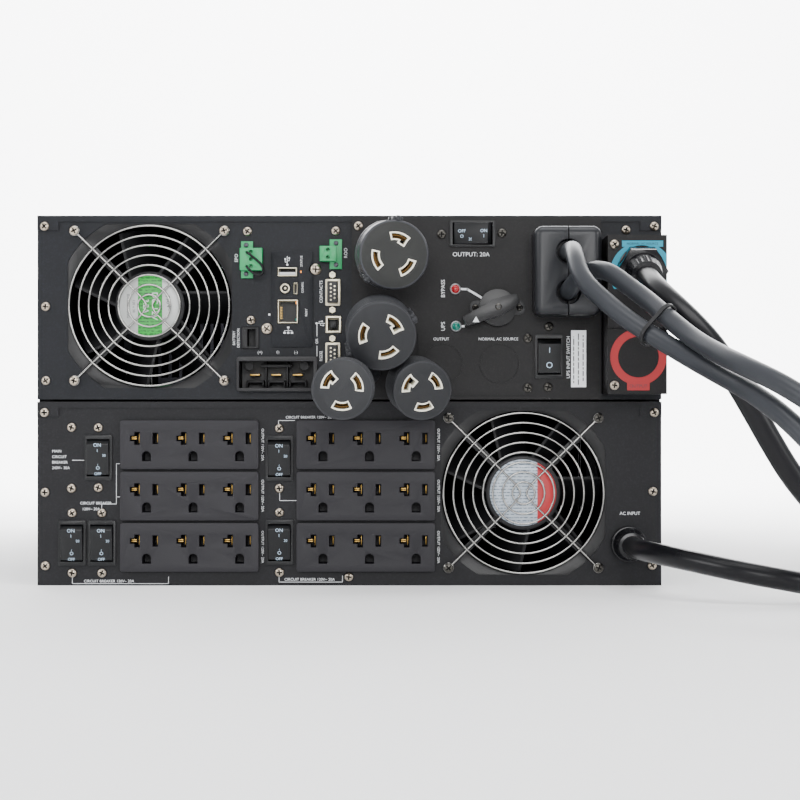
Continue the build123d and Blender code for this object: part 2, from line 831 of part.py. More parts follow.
def make_terminal(flange_box, plug_box, hole_offsets):
    x0, x1, z0, z1 = flange_box
    part = block(x0, x1, rear_y - terminal_flange, rear_y, upper_base + z0, upper_base + z1)
    x0, x1, z0, z1 = plug_box
    z0 += upper_base
    z1 += upper_base
    part += block(x0, x1, rear_y - terminal_plug_depth, rear_y + 10, z0, z1)
    for offset in hole_offsets:
        z = (z0 + z1) / 2 + offset
        near = rear_y - terminal_plug_depth
        part -= rod((x0 + x1) / 2, z, wire_hole_radius, near - 1, near + wire_hole_depth)
    return part


def make_jumper():
    x0, x1, z0, z1 = terminal_epo_plug
    middle_x = (x0 + x1) / 2
    middle_z = upper_base + (z0 + z1) / 2
    near = rear_y - terminal_plug_depth
    path = FilletPolyline(
        (middle_x, near + wire_hole_depth, middle_z + 5), (middle_x, near - 6, middle_z + 5),
        (middle_x + 12, near - 9, middle_z), (middle_x + 10, near - 8, middle_z - 8),
        (middle_x, near - 6, middle_z - 5), (middle_x, near + wire_hole_depth, middle_z - 5),
        radius=2.4,
    )
    return sweep(Plane(path @ 0, z_dir=path % 0) * Circle(jumper_radius), path=path)


def make_sense_socket():
    x0, x1, z0, z1 = sense_box
    shell = block(x0, x1, rear_y - port_proud, rear_y + port_depth, upper_base + z0, upper_base + z1)
    x0, x1, z0, z1 = sense_hole
    return shell - block(x0, x1, rear_y - 5, rear_y + port_depth - 2, upper_base + z0, upper_base + z1)


def battery_body():
    inset = 1.5
    x0, x1, z0, z1 = battery_box
    return (x0 + inset, x1 - inset, z0 + inset, z1 - inset)


def make_battery_connector():
    x0, x1, z0, z1 = battery_box
    near = rear_y - battery_proud
    shell = prism(rounded(x0, x1, upper_base + z0, upper_base + z1, 2), near, rear_y)
    x0, x1, z0, z1 = battery_body()
    shell += block(x0, x1, rear_y - 0.1, near + battery_depth, upper_base + z0, upper_base + z1)
    x0, x1, z0, z1 = battery_opening
    return shell - block(x0, x1, near - 1, near + battery_cavity, upper_base + z0, upper_base + z1)


def make_battery_contacts():
    width, length, thickness = contact_size
    near = rear_y - battery_proud
    back = near + battery_cavity
    middle = upper_base + (battery_opening[2] + battery_opening[3]) / 2
    return [
        block(x - width / 2, x + width / 2, back - length, back, middle - thickness / 2, middle + thickness / 2)
        for x in contact_x
    ]


# ---- power distribution housing ----


def make_pdu():
    top = upper_base + pdu_height
    housing = block(pdu_left, pdu_right, pdu_y, rear_y, upper_base, top)
    wall = rear_sheet
    inner = block(pdu_left + wall, pdu_right - wall, pdu_y + wall, rear_y + 1, upper_base + wall, top - wall)
    housing -= inner
    lip = upper_base + module_height - lid_lip_height - fit_gap
    housing -= block(pdu_left - 1, pdu_right + 1, lid_front_y - fit_gap, rear_y + 1, lip, top + 1)
    cuts = []
    for place, frame in ((output_breaker, output_frame), (input_switch, input_frame)):
        half_x = frame[0] / 2 - switch_body_inset + fit_gap
        half_z = frame[1] / 2 - switch_body_inset + fit_gap
        x, z = place
        cuts.append(block(x - half_x, x + half_x, pdu_y - 1, pdu_y + 3, z - half_z, z + half_z))
    for x, z in raised(lamp_places, upper_base):
        cuts.append(rod(x, z, lamp_radius + 0.1, pdu_y - 1, pdu_y + 3))
    cuts.append(rod(knob_place[0], upper_base + knob_place[1], knob_shaft_radius + 4, pdu_y - 1, pdu_y + 3))
    screws = pdu_screws + switch_screws + knob_screws
    return housing - cuts - screw_holes(screws, pdu_y - 1, pdu_y + 8) - screw_holes(cover_screws, pdu_y - 1, pdu_y + 8)


def make_covers():
    x0, x1, z0, z1 = wiring_cover_box
    near = pdu_y - sheet
    cover = block(x0, x1, near, pdu_y, upper_base + z0, upper_base + z1)
    for offset in knockout_offsets:
        middle = upper_base + (z0 + z1) / 2
        groove = Pos(x0 + offset, middle) * (Circle(knockout_radius) - Circle(knockout_radius - knockout_groove))
        cover -= prism(groove, near - 1, near + sheet / 2)
    cover -= screw_holes(cover_screws, near - 1, pdu_y + 1)
    near = terminal_y
    far = terminal_y + terminal_wall
    seam = upper_base + terminal_seam
    gap = terminal_gap
    lower = block(terminal_left, terminal_right, near, far, upper_base + terminal_base, seam - gap)
    middle_x = (terminal_left + terminal_right) / 2
    ring = Pos(middle_x, upper_base + terminal_knockout_rise) * (
        Circle(terminal_knockout_radius) - Circle(terminal_knockout_radius - knockout_groove)
    )
    lower -= prism(ring, near - 1, near + terminal_wall / 2)
    upper = block(terminal_left, terminal_right, near, far, seam + gap, upper_base + terminal_top)
    upper -= rod(gland_place[0], upper_base + gland_place[1], gland_thread_radius() + fit_gap, near - 1, far + 1)
    lower -= screw_holes(terminal_screws[1:], near - 1, far + 1)
    upper -= screw_holes(terminal_screws[:1], near - 1, far + 1)
    return [cover, upper, lower]


def gland_thread_radius():
    return gland_cap_radius - 2.0


def make_terminal_box():
    low = upper_base + terminal_base
    high = upper_base + terminal_top
    near = terminal_y + terminal_wall
    box = block(terminal_left, terminal_right, near, rear_y, low, high)
    wall = terminal_wall
    box -= block(terminal_left + wall, terminal_right - wall, near - 1, rear_y + 1, low + wall, high - wall)
    for x, z in terminal_screws:
        boss = rod(x, z, 4.5, near, near + 10)
        box += boss & block(terminal_left, terminal_right, near, near + 10, low, high)
    return box - screw_holes(terminal_screws, near - 1, near + 9)


def make_gland():
    """Screwed gland with a hexagonal body and a tapered sealing cap, tipped downwards."""
    x = gland_place[0]
    z = upper_base + gland_place[1]
    thread = rod(x, z, gland_thread_radius(), terminal_y, terminal_y + terminal_wall + 8)
    wedge = gland_nut_radius * math.sin(math.radians(gland_tilt))
    seat = rod(x, z, gland_nut_radius - 1.5, terminal_y - wedge - 2, terminal_y)
    tip = gland_frame()
    hexagon = extrude(tip * RegularPolygon(gland_nut_radius, 6), amount=gland_nut_length)
    cap_plane = tip.offset(gland_nut_length)
    cap = extrude(cap_plane * Circle(gland_cap_radius), amount=gland_cap_length, taper=6)
    front = block(x - 40, x + 40, terminal_y, terminal_y + 60, z - 40, z + 40)
    return [thread, seat - hexagon - cap, (hexagon + cap) - front]


def gland_frame():
    """Plane at the gland's root whose normal is the way the cord leaves."""
    tilt = math.radians(gland_tilt)
    away = Vector(0, -math.cos(tilt), -math.sin(tilt))
    root = Vector(gland_place[0], terminal_y - 5.0, upper_base + gland_place[1])
    return Plane(origin=root, x_dir=(1, 0, 0), z_dir=away)


def gland_exit():
    """Where the input cord leaves the gland, and a second point straight out from there."""
    plane = gland_frame()
    face = plane.origin + plane.z_dir * (gland_nut_length + gland_cap_length)
    return [tuple(face), tuple(face + plane.z_dir * gland_lead)]


def make_clamp():
    x0, x1, z0, z1 = clamp_box
    shell = prism(rounded(x0, x1, upper_base + z0, upper_base + z1, clamp_corner), clamp_y, pdu_y)
    shell = fillet(shell.faces().sort_by(Axis.Y)[0].edges(), clamp_edge)
    for rise in clamp_hole_rise:
        shell -= rod(clamp_hole_x, upper_base + rise, clamp_hole_radius, clamp_y - 1, clamp_y + clamp_hole_depth)
    halves = []
    for side in (-1, 1):
        inner = clamp_hole_x + side * clamp_split / 2
        keep = block(inner, clamp_hole_x + side * 60, clamp_y - 1, pdu_y, upper_base, upper_base + 140)
        halves.append(shell & keep)
    return halves


def make_ac_gland():
    x, z = ac_gland_place
    nut = extrude(Plane.XZ.offset(-rear_y) * Pos(x, z) * Circle(ac_gland_radius), amount=10)
    cap = extrude(Plane.XZ.offset(-rear_y + 10) * Pos(x, z) * Circle(ac_gland_radius - 1), amount=ac_gland_length - 10, taper=8)
    return nut + cap + rod(x, z, ac_gland_radius - 2, rear_y, pan_y + 8)


def make_selector():
    x, z = knob_place[0], upper_base + knob_place[1]
    half = switch_plate_half
    rise = switch_plate_height / 2
    plate = prism(rounded(x - half, x + half, z - rise, z + rise, 4), pdu_y - sheet, pdu_y)
    plate += rod(x, z, knob_shaft_radius + 3.6, pdu_y - 0.1, pdu_y + 6)
    side = selector_body / 2
    body = block(x - side, x + side, pdu_y + 6, pdu_y + 46, z - side, z + side)
    whole = plate + body
    whole -= rod(x, z, knob_shaft_radius + running_gap, pdu_y - 10, pdu_y + 30)
    return whole - screw_holes(knob_screws, pdu_y - 5, pdu_y + 12)


def make_knob():
    x, z = knob_place[0], upper_base + knob_place[1]
    near = pdu_y - sheet - fit_gap
    disc = rod(x, z, knob_disc_radius, near - knob_disc_height, near)
    outline = Polyline(
        (knob_lever_reach, knob_tip_width / 2), (0, knob_waist_width / 2),
        (-knob_lever_tail, knob_tip_width / 2), (-knob_lever_tail, -knob_tip_width / 2),
        (0, -knob_waist_width / 2), (knob_lever_reach, -knob_tip_width / 2), close=True,
    )
    lever = Pos(x, z) * Rot(0, 0, knob_rest_angle) * make_face(outline)
    top = near - knob_disc_height
    knob = disc + prism(lever, top - knob_lever_height, top + 0.1)
    return knob + rod(x, z, knob_shaft_radius, near - 0.1, pdu_y + 28)


def make_lamps():
    lamps = []
    for x, z in raised(lamp_places, upper_base):
        dome = Pos(x, pdu_y, z) * Sphere(lamp_radius)
        dome = dome & block(x - 5, x + 5, pdu_y - 5, pdu_y, z - 5, z + 5)
        lamps.append(dome + rod(x, z, lamp_radius - 0.4, pdu_y - 0.1, pdu_y + 8))
    return lamps


# ---- locking outlets ----


def outlet_plane(face, right, down):
    """Plane of an outlet's face: x to the right, normal the way the face looks."""
    x, forward, z = face
    turn = math.radians(right)
    drop = math.radians(down)
    normal = Vector(math.sin(turn) * math.cos(drop), -math.cos(turn) * math.cos(drop), -math.sin(drop))
    sideways = Vector(math.cos(turn), math.sin(turn), 0)
    return Plane(origin=(x, rear_y - forward, z), x_dir=sideways, z_dir=normal)


def make_locking_outlet(outlet, radius, slot_circle):
    face, right, down, angles, foot = outlet
    plane = outlet_plane(face, right, down)
    profile = Polyline(
        (0, 0), (radius, 0), (radius, -locking_taper_start), (radius - 5, -locking_length + 8),
        (locking_back_radius, -locking_length), (0, -locking_length), close=True,
    )
    body = revolve(Plane.XZ * make_face(profile), axis=Axis.Z)
    for angle in angles:
        arc = CenterArc((0, 0), slot_circle, angle - slot_arc / 2, slot_arc)
        body -= extrude(SlotArc(arc, slot_width), amount=-slot_depth)
    return plane * body


def make_neck(outlet):
    face, right, down, angles, foot = outlet
    plane = outlet_plane(face, right, down)
    back = plane.origin - plane.z_dir * locking_length
    start = Vector(foot[0], pdu_y, foot[1])
    lead = (back - start).length * neck_lead
    after = start - Vector(0, lead, 0)
    before = back - plane.z_dir * lead
    points = [tuple(point) for point in (start, after, before, back)]
    path = FilletPolyline(*points, radius=corner_radii(points))
    return sweep(Plane(path @ 0, z_dir=path % 0) * Circle(neck_radius), path=path)


# ---- inner parts ----


def make_boards():
    low = upper_base + sheet + board_clearance
    inside = half_width - 18.0
    main = block(
        -inside, inside, rear_y + board_rear_gap, bezel_y - board_front_gap, low, low + board_thickness,
    )
    card_x = (card_box[0] + card_box[1]) / 2
    card = block(
        card_x - board_thickness, card_x, rear_y + port_depth + 4, rear_y + board_rear_gap - 2,
        upper_base + card_box[2] + 4, upper_base + card_box[3] - 4,
    )
    parts = [main, card]
    for number in range(6):
        x = capacitor_first + number * capacitor_pitch
        can = Pos(x, bezel_y - capacitor_front_gap, low + board_thickness) * Cylinder(
            capacitor_radius, capacitor_height, align=(Align.CENTER, Align.CENTER, Align.MIN)
        )
        parts.append(can)
    for number in range(3):
        x = choke_first + number * choke_pitch
        top = low + board_thickness + choke_height
        near, far = choke_rear
        parts.append(block(x, x + choke_width, rear_y + near, rear_y + far, low + board_thickness, top))
    return parts


def make_heatsinks():
    width, length, height = heatsink_size
    low = upper_base + sheet + board_clearance + board_thickness
    sinks = []
    for x, y in heatsink_places:
        sink = block(x - width / 2, x + width / 2, y - length / 2, y + length / 2, low, low + heatsink_base)
        count = int((width - heatsink_fin) // heatsink_fin_pitch) + 1
        for number in range(count):
            left = x - width / 2 + number * heatsink_fin_pitch
            sink += block(left, left + heatsink_fin, y - length / 2, y + length / 2, low, low + height)
        sinks.append(sink)
    return sinks


def core_windows():
    width, depth, height = core_size
    opening = (width - 4 * core_limb / 2 - core_limb) / 2
    return [(side * (core_limb / 2 + opening / 2), opening) for side in (-1, 1)]


def make_core():
    x, y = core_place
    width, depth, height = core_size
    low = sheet
    core = block(x - width / 2, x + width / 2, y - depth / 2, y + depth / 2, low, low + height)
    for offset, opening in core_windows():
        core -= block(
            x + offset - opening / 2, x + offset + opening / 2, y - depth, y + depth,
            low + core_limb, low + height - core_limb,
        )
    return core


def make_windings():
    x, y = core_place
    width, depth, height = core_size
    offset, opening = core_windows()[1]
    inner_x = core_limb / 2 + core_gap
    outer_x = core_limb / 2 + opening - core_gap
    inner_y = depth / 2 + core_gap
    outer_y = depth / 2 + coil_build
    low = sheet + core_limb + core_gap
    high = sheet + height - core_limb - core_gap
    winding = block(x - outer_x, x + outer_x, y - outer_y, y + outer_y, low, high)
    return winding - block(x - inner_x, x + inner_x, y - inner_y, y + inner_y, low - 1, high + 1)


# ---- cords ----


def corner_radii(points):
    """An arc at each corner as large as 45% of its shorter run allows."""
    radii = []
    for before, here, after in zip(points, points[1:], points[2:]):
        come = Vector(*here) - Vector(*before)
        go = Vector(*after) - Vector(*here)
        turn = math.radians(come.get_angle(go))
        radii.append(0.45 * min(come.length, go.length) / math.tan(turn / 2))
    return radii


def make_tube(name, points, diameter):
    radii = corner_radii(points)
    path = FilletPolyline(*points, radius=radii)
    tube = sweep(Plane(path @ 0, z_dir=path % 0) * Circle(diameter / 2), path=path)
    smallest = min(radii)
    area = math.pi * diameter * diameter / 4
    print(name, "length", round(path.length), "smallest radius", round(smallest, 1), "in diameters",
          round(smallest / diameter, 2), "volume ratio", round(tube.volume / (area * path.length), 4))
    print("  radii", [round(radius) for radius in radii])
    return tube


def make_coil(centre, diameter):
    """Outer shape of a flat round coil lying on the floor."""
    middle = coil_diameters * diameter / 2
    width = coil_layers * diameter
    height = coil_height * diameter
    section = Pos(middle, height / 2) * RectangleRounded(width, height, coil_corner * diameter)
    return Pos(centre[0], centre[1], 0) * revolve(Plane.XZ * section, axis=Axis.Z)


def coil_exit(centre, diameter, side):
    """Where a straight tangent at the coil's left or right side meets its outside."""
    middle = coil_diameters * diameter / 2
    outer = middle + coil_layers * diameter / 2
    return (centre[0] + side * middle, centre[1] - math.sqrt(outer ** 2 - middle ** 2))


def make_floor_plug(x, y, length, radius, toward):
    """Round plug or connector lying on the floor, its cord end at y."""
    body = Pos(x, y + toward * length / 2, radius) * Rot(90, 0, 0) * Cylinder(radius, length)
    return chamfer(body.edges().filter_by(GeomType.CIRCLE), plug_edge)


def make_tie():
    """Loop drawn tight round both output leads, with its locking head."""
    start = Vector(*upper_lead_route[4])
    end = Vector(*upper_lead_route[5])
    along = (end - start).normalized()
    here = start + (end - start) * 0.55
    other_start = Vector(*lower_lead_route[4])
    other_along = (Vector(*lower_lead_route[5]) - other_start).normalized()
    reach = (here - other_start).dot(along) / other_along.dot(along)
    there = other_start + other_along * reach
    across = there - here
    middle = (here + there) / 2
    plane = Plane(origin=middle - along * (tie_width / 2), x_dir=across, z_dir=along)
    inner = output_cord_diameter / 2 + tie_gap
    outer = inner + tie_thickness
    loop = SlotCenterToCenter(across.length, 2 * outer) - SlotCenterToCenter(across.length, 2 * inner)
    tie = extrude(plane * loop, amount=tie_width)
    head = plane * Pos(0, -outer - 1.5, tie_width / 2) * Box(5.0, 3.4, 4.6)
    return tie + head


# ---- build ----


def build_chassis():
    save("upper_pan", make_pan(upper_base))
    save("upper_lid", make_lid(upper_base, tab_screws_upper))
    save("upper_rear_panel", make_upper_panel())
    save("upper_bezel", make_bezel(upper_base, True))
    save("display_screen", make_screen())
    save("power_button", make_button(button_places[0]))
    save("menu_button", make_button(button_places[1]))
    save("lower_pan", make_pan(0.0))
    save("lower_lid", make_lid(0.0, tab_screws_lower))
    save("lower_rear_panel", make_lower_panel())
    save("lower_bezel", make_bezel(0.0, False))
    save("rack_ears", *make_ears())
    save("spacer_pads", *make_pads())


def build_fans():
    hubs = (upper_hub_radius, lower_hub_radius)
    save("fan_frames", *[make_fan_frame(place, hub) for place, hub in zip(fan_places, hubs)])
    save("upper_fan_rotor", make_fan_rotor(fan_places[0], hubs[0]))
    save("lower_fan_rotor", make_fan_rotor(fan_places[1], hubs[1]))
    save("fan_guards", *[make_guard(place) for place in fan_places])


def build_switches():
    bodies = [switch_body(place, rear_y, breaker_frame, breaker_rocker, "x") for place in lower_breakers]
    bodies.append(switch_body(output_breaker, pdu_y, output_frame, output_rocker, "z"))
    bodies.append(switch_body(input_switch, pdu_y, input_frame, input_rocker, "x"))
    save("switch_bodies", *bodies)
    for number, place in enumerate(lower_breakers):
        save("breaker_rocker_" + str(number + 1), make_rocker(place, rear_y, breaker_rocker, "x"))
    save("output_breaker_rocker", make_rocker(output_breaker, pdu_y, output_rocker, "z"))
    save("input_switch_rocker", make_rocker(input_switch, pdu_y, input_rocker, "x"))


def build_lower_rear():
    strips = [make_strip(left, low) for left in strip_columns for low in strip_rows]
    save("outlet_strips", *strips)
    save("ac_gland", make_ac_gland())
    save("transformer_core", make_core())
    save("transformer_windings", make_windings())


def build_upper_rear():
    save("card_faceplate", make_card_plate())
    save("data_ports", *make_ports())
    terminals = [
        make_terminal(terminal_epo, terminal_epo_plug, (5, 0, -5)),
        make_terminal(terminal_roo, terminal_roo_plug, (2.7, -2.7)),
    ]
    save("terminal_plugs", *terminals)
    save("epo_jumper", make_jumper())
    save("battery_sense_socket", make_sense_socket())
    save("battery_connector", make_battery_connector())
    save("battery_contacts", *make_battery_contacts())
    save("pdu_housing", make_pdu())
    save("wiring_covers", *make_covers())
    save("terminal_box", make_terminal_box())
    save("input_gland", *make_gland())
    save("cord_clamp", *make_clamp())
    save("bypass_switch", make_selector())
    save("bypass_knob", make_knob())
    save("indicator_lamps", *make_lamps())
    save("large_locking_outlets", *[make_locking_outlet(o, large_outlet_radius, large_slot_circle) for o in large_outlets])
    save("small_locking_outlets", *[make_locking_outlet(o, small_outlet_radius, small_slot_circle) for o in small_outlets])
    save("outlet_necks", *[make_neck(o) for o in large_outlets + small_outlets])
    save("circuit_boards", *make_boards())
    save("heatsinks", *make_heatsinks())


def build_screws():
    silver = [screw(x, z, rear_y, screw_head_radius) for x, z in upper_panel_screws]
    silver += [screw(x, z, rear_y, screw_head_radius) for x, z in lower_edge_screws + lower_breaker_screws]
    silver += [screw(x, z, lid_front_y, screw_head_radius) for x, z in tab_screws_upper + tab_screws_lower]
    silver += [screw(x, z, pdu_y, screw_head_radius) for x, z in pdu_screws[:1]]
    silver += [screw(x, z, terminal_y, screw_head_radius) for x, z in terminal_screws]
    silver += [screw(x, z, rear_y, thumbscrew_radius) for x, z in thumbscrews]
    guard_face = rear_y - 2.6 * guard_wire
    silver += [screw(x, z, guard_face, fan_screw_radius) for x, z in fan_screws(fan_places[0])]
    save("silver_screws", *silver)
    black = [screw(x, z, pdu_y, screw_head_radius) for x, z in pdu_screws[1:] + switch_screws]
    black += [screw(x, z, pdu_y - sheet, screw_head_radius) for x, z in cover_screws]
    black += [screw(x, z, pdu_y - sheet, screw_head_radius - 1.0) for x, z in knob_screws]
    black += [screw(x, z, guard_face, fan_screw_radius) for x, z in fan_screws(fan_places[1])]
    save("black_screws", *black)


def build_cords():
    clamp_floor = clamp_y + clamp_hole_depth
    low_hole, high_hole = [upper_base + rise for rise in clamp_hole_rise]
    leads = (
        ("output_cord_upper", high_hole, upper_lead_route, upper_connector_foot),
        ("output_cord_lower", low_hole, lower_lead_route, lower_connector_foot),
    )
    connectors = []
    for name, z, route, foot in leads:
        start = (clamp_hole_x, clamp_floor, z)
        end = (foot[0], foot[1], connector_radius)
        save(name, make_tube(name, [start] + route + [end], output_cord_diameter))
        connectors.append(make_floor_plug(foot[0], foot[1], connector_length, connector_radius, 1))
    save("output_cord_connectors", *connectors)
    save("cable_tie", make_tie())
    x, z = ac_gland_place
    cords = (
        ("input_cord", gland_exit(), input_route, input_coil_centre, input_cord_diameter),
        ("transformer_cord", [(x, rear_y - ac_gland_length, z)], transformer_route, transformer_coil_centre,
         transformer_cord_diameter),
    )
    plugs = []
    for name, start, route, centre, diameter in cords:
        coil = make_coil(centre, diameter)
        entry = coil_exit(centre, diameter, -1)
        end = (entry[0], entry[1] + diameter, diameter / 2)
        tube = make_tube(name, start + route + [end], diameter)
        save(name, tube - coil)
        save(name + "_coil", coil)
        leave = coil_exit(centre, diameter, 1)
        plugs.append(make_floor_plug(leave[0], leave[1], plug_length, plug_radius, -1) - coil)
    save("cord_plugs", *plugs)


os.makedirs("parts", exist_ok=True)
build_chassis()
build_fans()
build_switches()
build_lower_rear()
build_upper_rear()
build_screws()
build_cords()
print(len(written), "sub-parts written")
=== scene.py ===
import math
import bpy
from mathutils import Matrix, Vector
from mathutils.bvhtree import BVHTree


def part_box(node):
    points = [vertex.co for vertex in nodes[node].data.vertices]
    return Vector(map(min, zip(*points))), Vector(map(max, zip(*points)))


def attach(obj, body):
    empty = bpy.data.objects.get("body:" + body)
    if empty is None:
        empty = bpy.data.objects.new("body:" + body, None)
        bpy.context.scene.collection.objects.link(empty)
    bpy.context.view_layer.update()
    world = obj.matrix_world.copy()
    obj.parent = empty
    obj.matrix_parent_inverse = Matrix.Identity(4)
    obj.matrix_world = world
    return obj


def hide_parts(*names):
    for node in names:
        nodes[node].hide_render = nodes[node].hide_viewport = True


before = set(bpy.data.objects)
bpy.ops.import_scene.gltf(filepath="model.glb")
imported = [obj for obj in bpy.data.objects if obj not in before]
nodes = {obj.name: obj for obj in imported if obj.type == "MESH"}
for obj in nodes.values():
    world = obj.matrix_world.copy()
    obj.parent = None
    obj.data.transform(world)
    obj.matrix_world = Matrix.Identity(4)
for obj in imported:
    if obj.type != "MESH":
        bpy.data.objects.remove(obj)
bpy.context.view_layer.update()        # nodes of the imported model
mm = 0.001
bpy.ops.object.select_all(action="DESELECT")
print("frame loaded:", len(nodes), "nodes")

# camera, floor and light

view = dict(place=(35.5, -1720.0, 130.2), lens=89.74, sensor=36.0)


def addCamera():
    data = bpy.data.cameras.new("camera")
    data.lens = view["lens"]
    data.sensor_width = view["sensor"]
    data.clip_end = 50.0
    camera = bpy.data.objects.new("camera", data)
    bpy.context.collection.objects.link(camera)
    camera.location = Vector(view["place"]) * mm
    camera.rotation_euler = (math.pi / 2, 0, 0)
    bpy.context.scene.camera = camera


studio = dict(
    floorSize=9.0, backWall=3.2, wallHeight=4.0, wallBend=1.6, sky=(0.93, 0.94, 0.96, 1),
    lamps=(
        # name, place in metres, turn in degrees, width, power
        ("overhead", (0.0, -0.9, 2.3), (35, 0, 0), 2.2, 52.0),
        ("left", (-1.9, -1.5, 1.0), (70, 0, -52), 1.1, 26.0),
        ("right", (2.1, -1.6, 0.9), (72, 0, 54), 1.1, 22.0),
        ("front", (0.1, -2.9, 0.7), (82, 0, 0), 1.2, 30.0),
        ("backdrop", (0.0, 1.0, 2.2), (62, 0, 0), 4.0, 640.0),
    ),
)


def addStudio():
    size = studio["floorSize"]
    bpy.ops.mesh.primitive_plane_add(size=size, location=(0, studio["backWall"] - size / 2, 0))
    floor = bpy.context.object
    floor.name = "studioFloor"
    bpy.ops.object.transform_apply(location=True, rotation=True, scale=True)
    chooseEdges(floor, lambda a, b: min(a.y, b.y) > studio["backWall"] - 0.01)
    bpy.ops.mesh.extrude_region_move(TRANSFORM_OT_translate={"value": (0, 0, studio["wallHeight"])})
    leaveEdit()
    chooseEdges(floor, lambda a, b: abs(a.y - b.y) < 0.01 and abs(a.z) + abs(b.z) < 0.01 and a.y > 1)
    bpy.ops.mesh.bevel(offset=studio["wallBend"], segments=14, affect="EDGES")
    leaveEdit()
    bpy.ops.object.shade_smooth()
    floor.data.materials.append(paleFloor())
    for name, place, turn, width, power in studio["lamps"]:
        light = bpy.data.lights.new(name, "AREA")
        light.shape = "RECTANGLE"
        light.size = width
        light.size_y = width * 0.6
        light.energy = power
        lamp = bpy.data.objects.new(name, light)
        lamp.location = place
        lamp.rotation_euler = [math.radians(angle) for angle in turn]
        bpy.context.collection.objects.link(lamp)
    world = bpy.data.worlds.new("studioWorld")
    world.use_nodes = True
    backdrop = world.node_tree.nodes["Background"]
    backdrop.inputs["Color"].default_value = studio["sky"]
    backdrop.inputs["Strength"].default_value = 1.0
    bpy.context.scene.world = world


# hand tools


def leaveEdit():
    if bpy.context.object and bpy.context.object.mode != "OBJECT":
        bpy.ops.object.mode_set(mode="OBJECT")


def pickOnly(*objects):
    leaveEdit()
    bpy.ops.object.select_all(action="DESELECT")
    for item in objects:
        item.select_set(True)
    bpy.context.view_layer.objects.active = objects[0]


def editAll():
    bpy.ops.object.mode_set(mode="EDIT")
    bpy.ops.mesh.select_all(action="SELECT")


def faceOutwards(merge=0.0):
    # ends an edit: near points are merged, and all faces turned outwards
    bpy.ops.mesh.select_all(action="SELECT")
    if merge:
        bpy.ops.mesh.remove_doubles(threshold=merge)
    bpy.ops.mesh.normals_make_consistent(inside=False)
    leaveEdit()


def clearMarks(obj):
    pickOnly(obj)
    mesh = obj.data
    for group in (mesh.vertices, mesh.edges, mesh.polygons):
        group.foreach_set("select", [False] * len(group))


def chooseEdges(obj, test):
    clearMarks(obj)
    points = obj.data.vertices
    for edge in obj.data.edges:
        edge.select = bool(test(points[edge.vertices[0]].co, points[edge.vertices[1]].co))
    bpy.ops.object.mode_set(mode="EDIT")
    bpy.ops.mesh.select_mode(type="EDGE")


def settle(obj, name=None):
    # the piece's place goes into its mesh
    pickOnly(obj)
    bpy.ops.object.transform_apply(location=True, rotation=True, scale=True)
    if name:
        obj.name = name
        obj.data.name = name
    return obj


def soften(obj, width, segments=2, angle=35):
    # small rounded edges, as a bevel that is applied
    pickOnly(obj)
    bevel = obj.modifiers.new("edges", "BEVEL")
    bevel.width = width * mm
    bevel.segments = segments
    bevel.limit_method = "ANGLE"
    bevel.angle_limit = math.radians(angle)
    bpy.ops.object.modifier_apply(modifier="edges")
    return obj


def smooth(obj, angle=35):
    pickOnly(obj)
    bpy.ops.object.shade_smooth_by_angle(angle=math.radians(angle))
    return obj


def carve(obj, cutter, how="DIFFERENCE"):
    pickOnly(obj)
    cut = obj.modifiers.new("cut", "BOOLEAN")
    cut.operation = how
    cut.solver = "EXACT"
    cut.object = cutter
    bpy.ops.object.modifier_apply(modifier="cut")
    bpy.data.objects.remove(cutter)
    return obj


def joined(objects, name=None):
    pickOnly(*objects)
    if len(objects) > 1:
        bpy.ops.object.join()
    result = bpy.context.object
    return settle(result, name)


def copyAt(obj, shift=(0, 0, 0), turn=0.0, about=(0, 0, 0)):
    # a copy with its own mesh, turned about Y at a point and then moved; all in millimetres
    other = obj.copy()
    other.data = obj.data.copy()
    bpy.context.collection.objects.link(other)
    middle = Vector(about) * mm
    spin = Matrix.Rotation(math.radians(turn), 4, "Y")
    spin = Matrix.Translation(middle) @ spin @ Matrix.Translation(-middle)
    other.data.transform(Matrix.Translation(Vector(shift) * mm) @ spin)
    return other


def block(low, high, edge=0.0, segments=2):
    # a box between two corners in millimetres, with softened edges
    middle = [(a + b) / 2 * mm for a, b in zip(low, high)]
    size = [abs(b - a) * mm for a, b in zip(low, high)]
    bpy.ops.mesh.primitive_cube_add(size=1, location=middle, scale=size)
    piece = settle(bpy.context.object)
    if edge:
        soften(piece, edge, segments)
    return piece


def turned(steps, place=(0, 0, 0), sides=48):
    # a round piece along Y: each step is (radius, y), reached by extruding and scaling the end face
    radius, depth = steps[0]
    middle = (place[0] * mm, (place[1] + depth) * mm, place[2] * mm)
    bpy.ops.mesh.primitive_circle_add(
        vertices=sides, radius=radius * mm, fill_type="NGON", location=middle, rotation=(math.pi / 2, 0, 0)
    )
    piece = settle(bpy.context.object)
    bpy.ops.object.mode_set(mode="EDIT")
    bpy.ops.mesh.select_mode(type="FACE")
    bpy.ops.mesh.select_all(action="SELECT")
    for newRadius, newDepth in steps[1:]:
        bpy.ops.mesh.extrude_region_move(TRANSFORM_OT_translate={"value": (0, (newDepth - depth) * mm, 0)})
        scale = newRadius / radius
        if abs(scale - 1) > 1e-6:
            bpy.ops.transform.resize(value=(scale, 1, scale))
        radius, depth = newRadius, newDepth
    faceOutwards()
    return piece


def finishPiece(piece, name, material, body="chassis", angle=35, replaces=()):
    smooth(settle(piece, name), angle)
    piece.data.materials.clear()
    piece.data.materials.append(material)
    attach(piece, body)
    if replaces:
        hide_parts(*replaces)
    return piece


# shader helpers


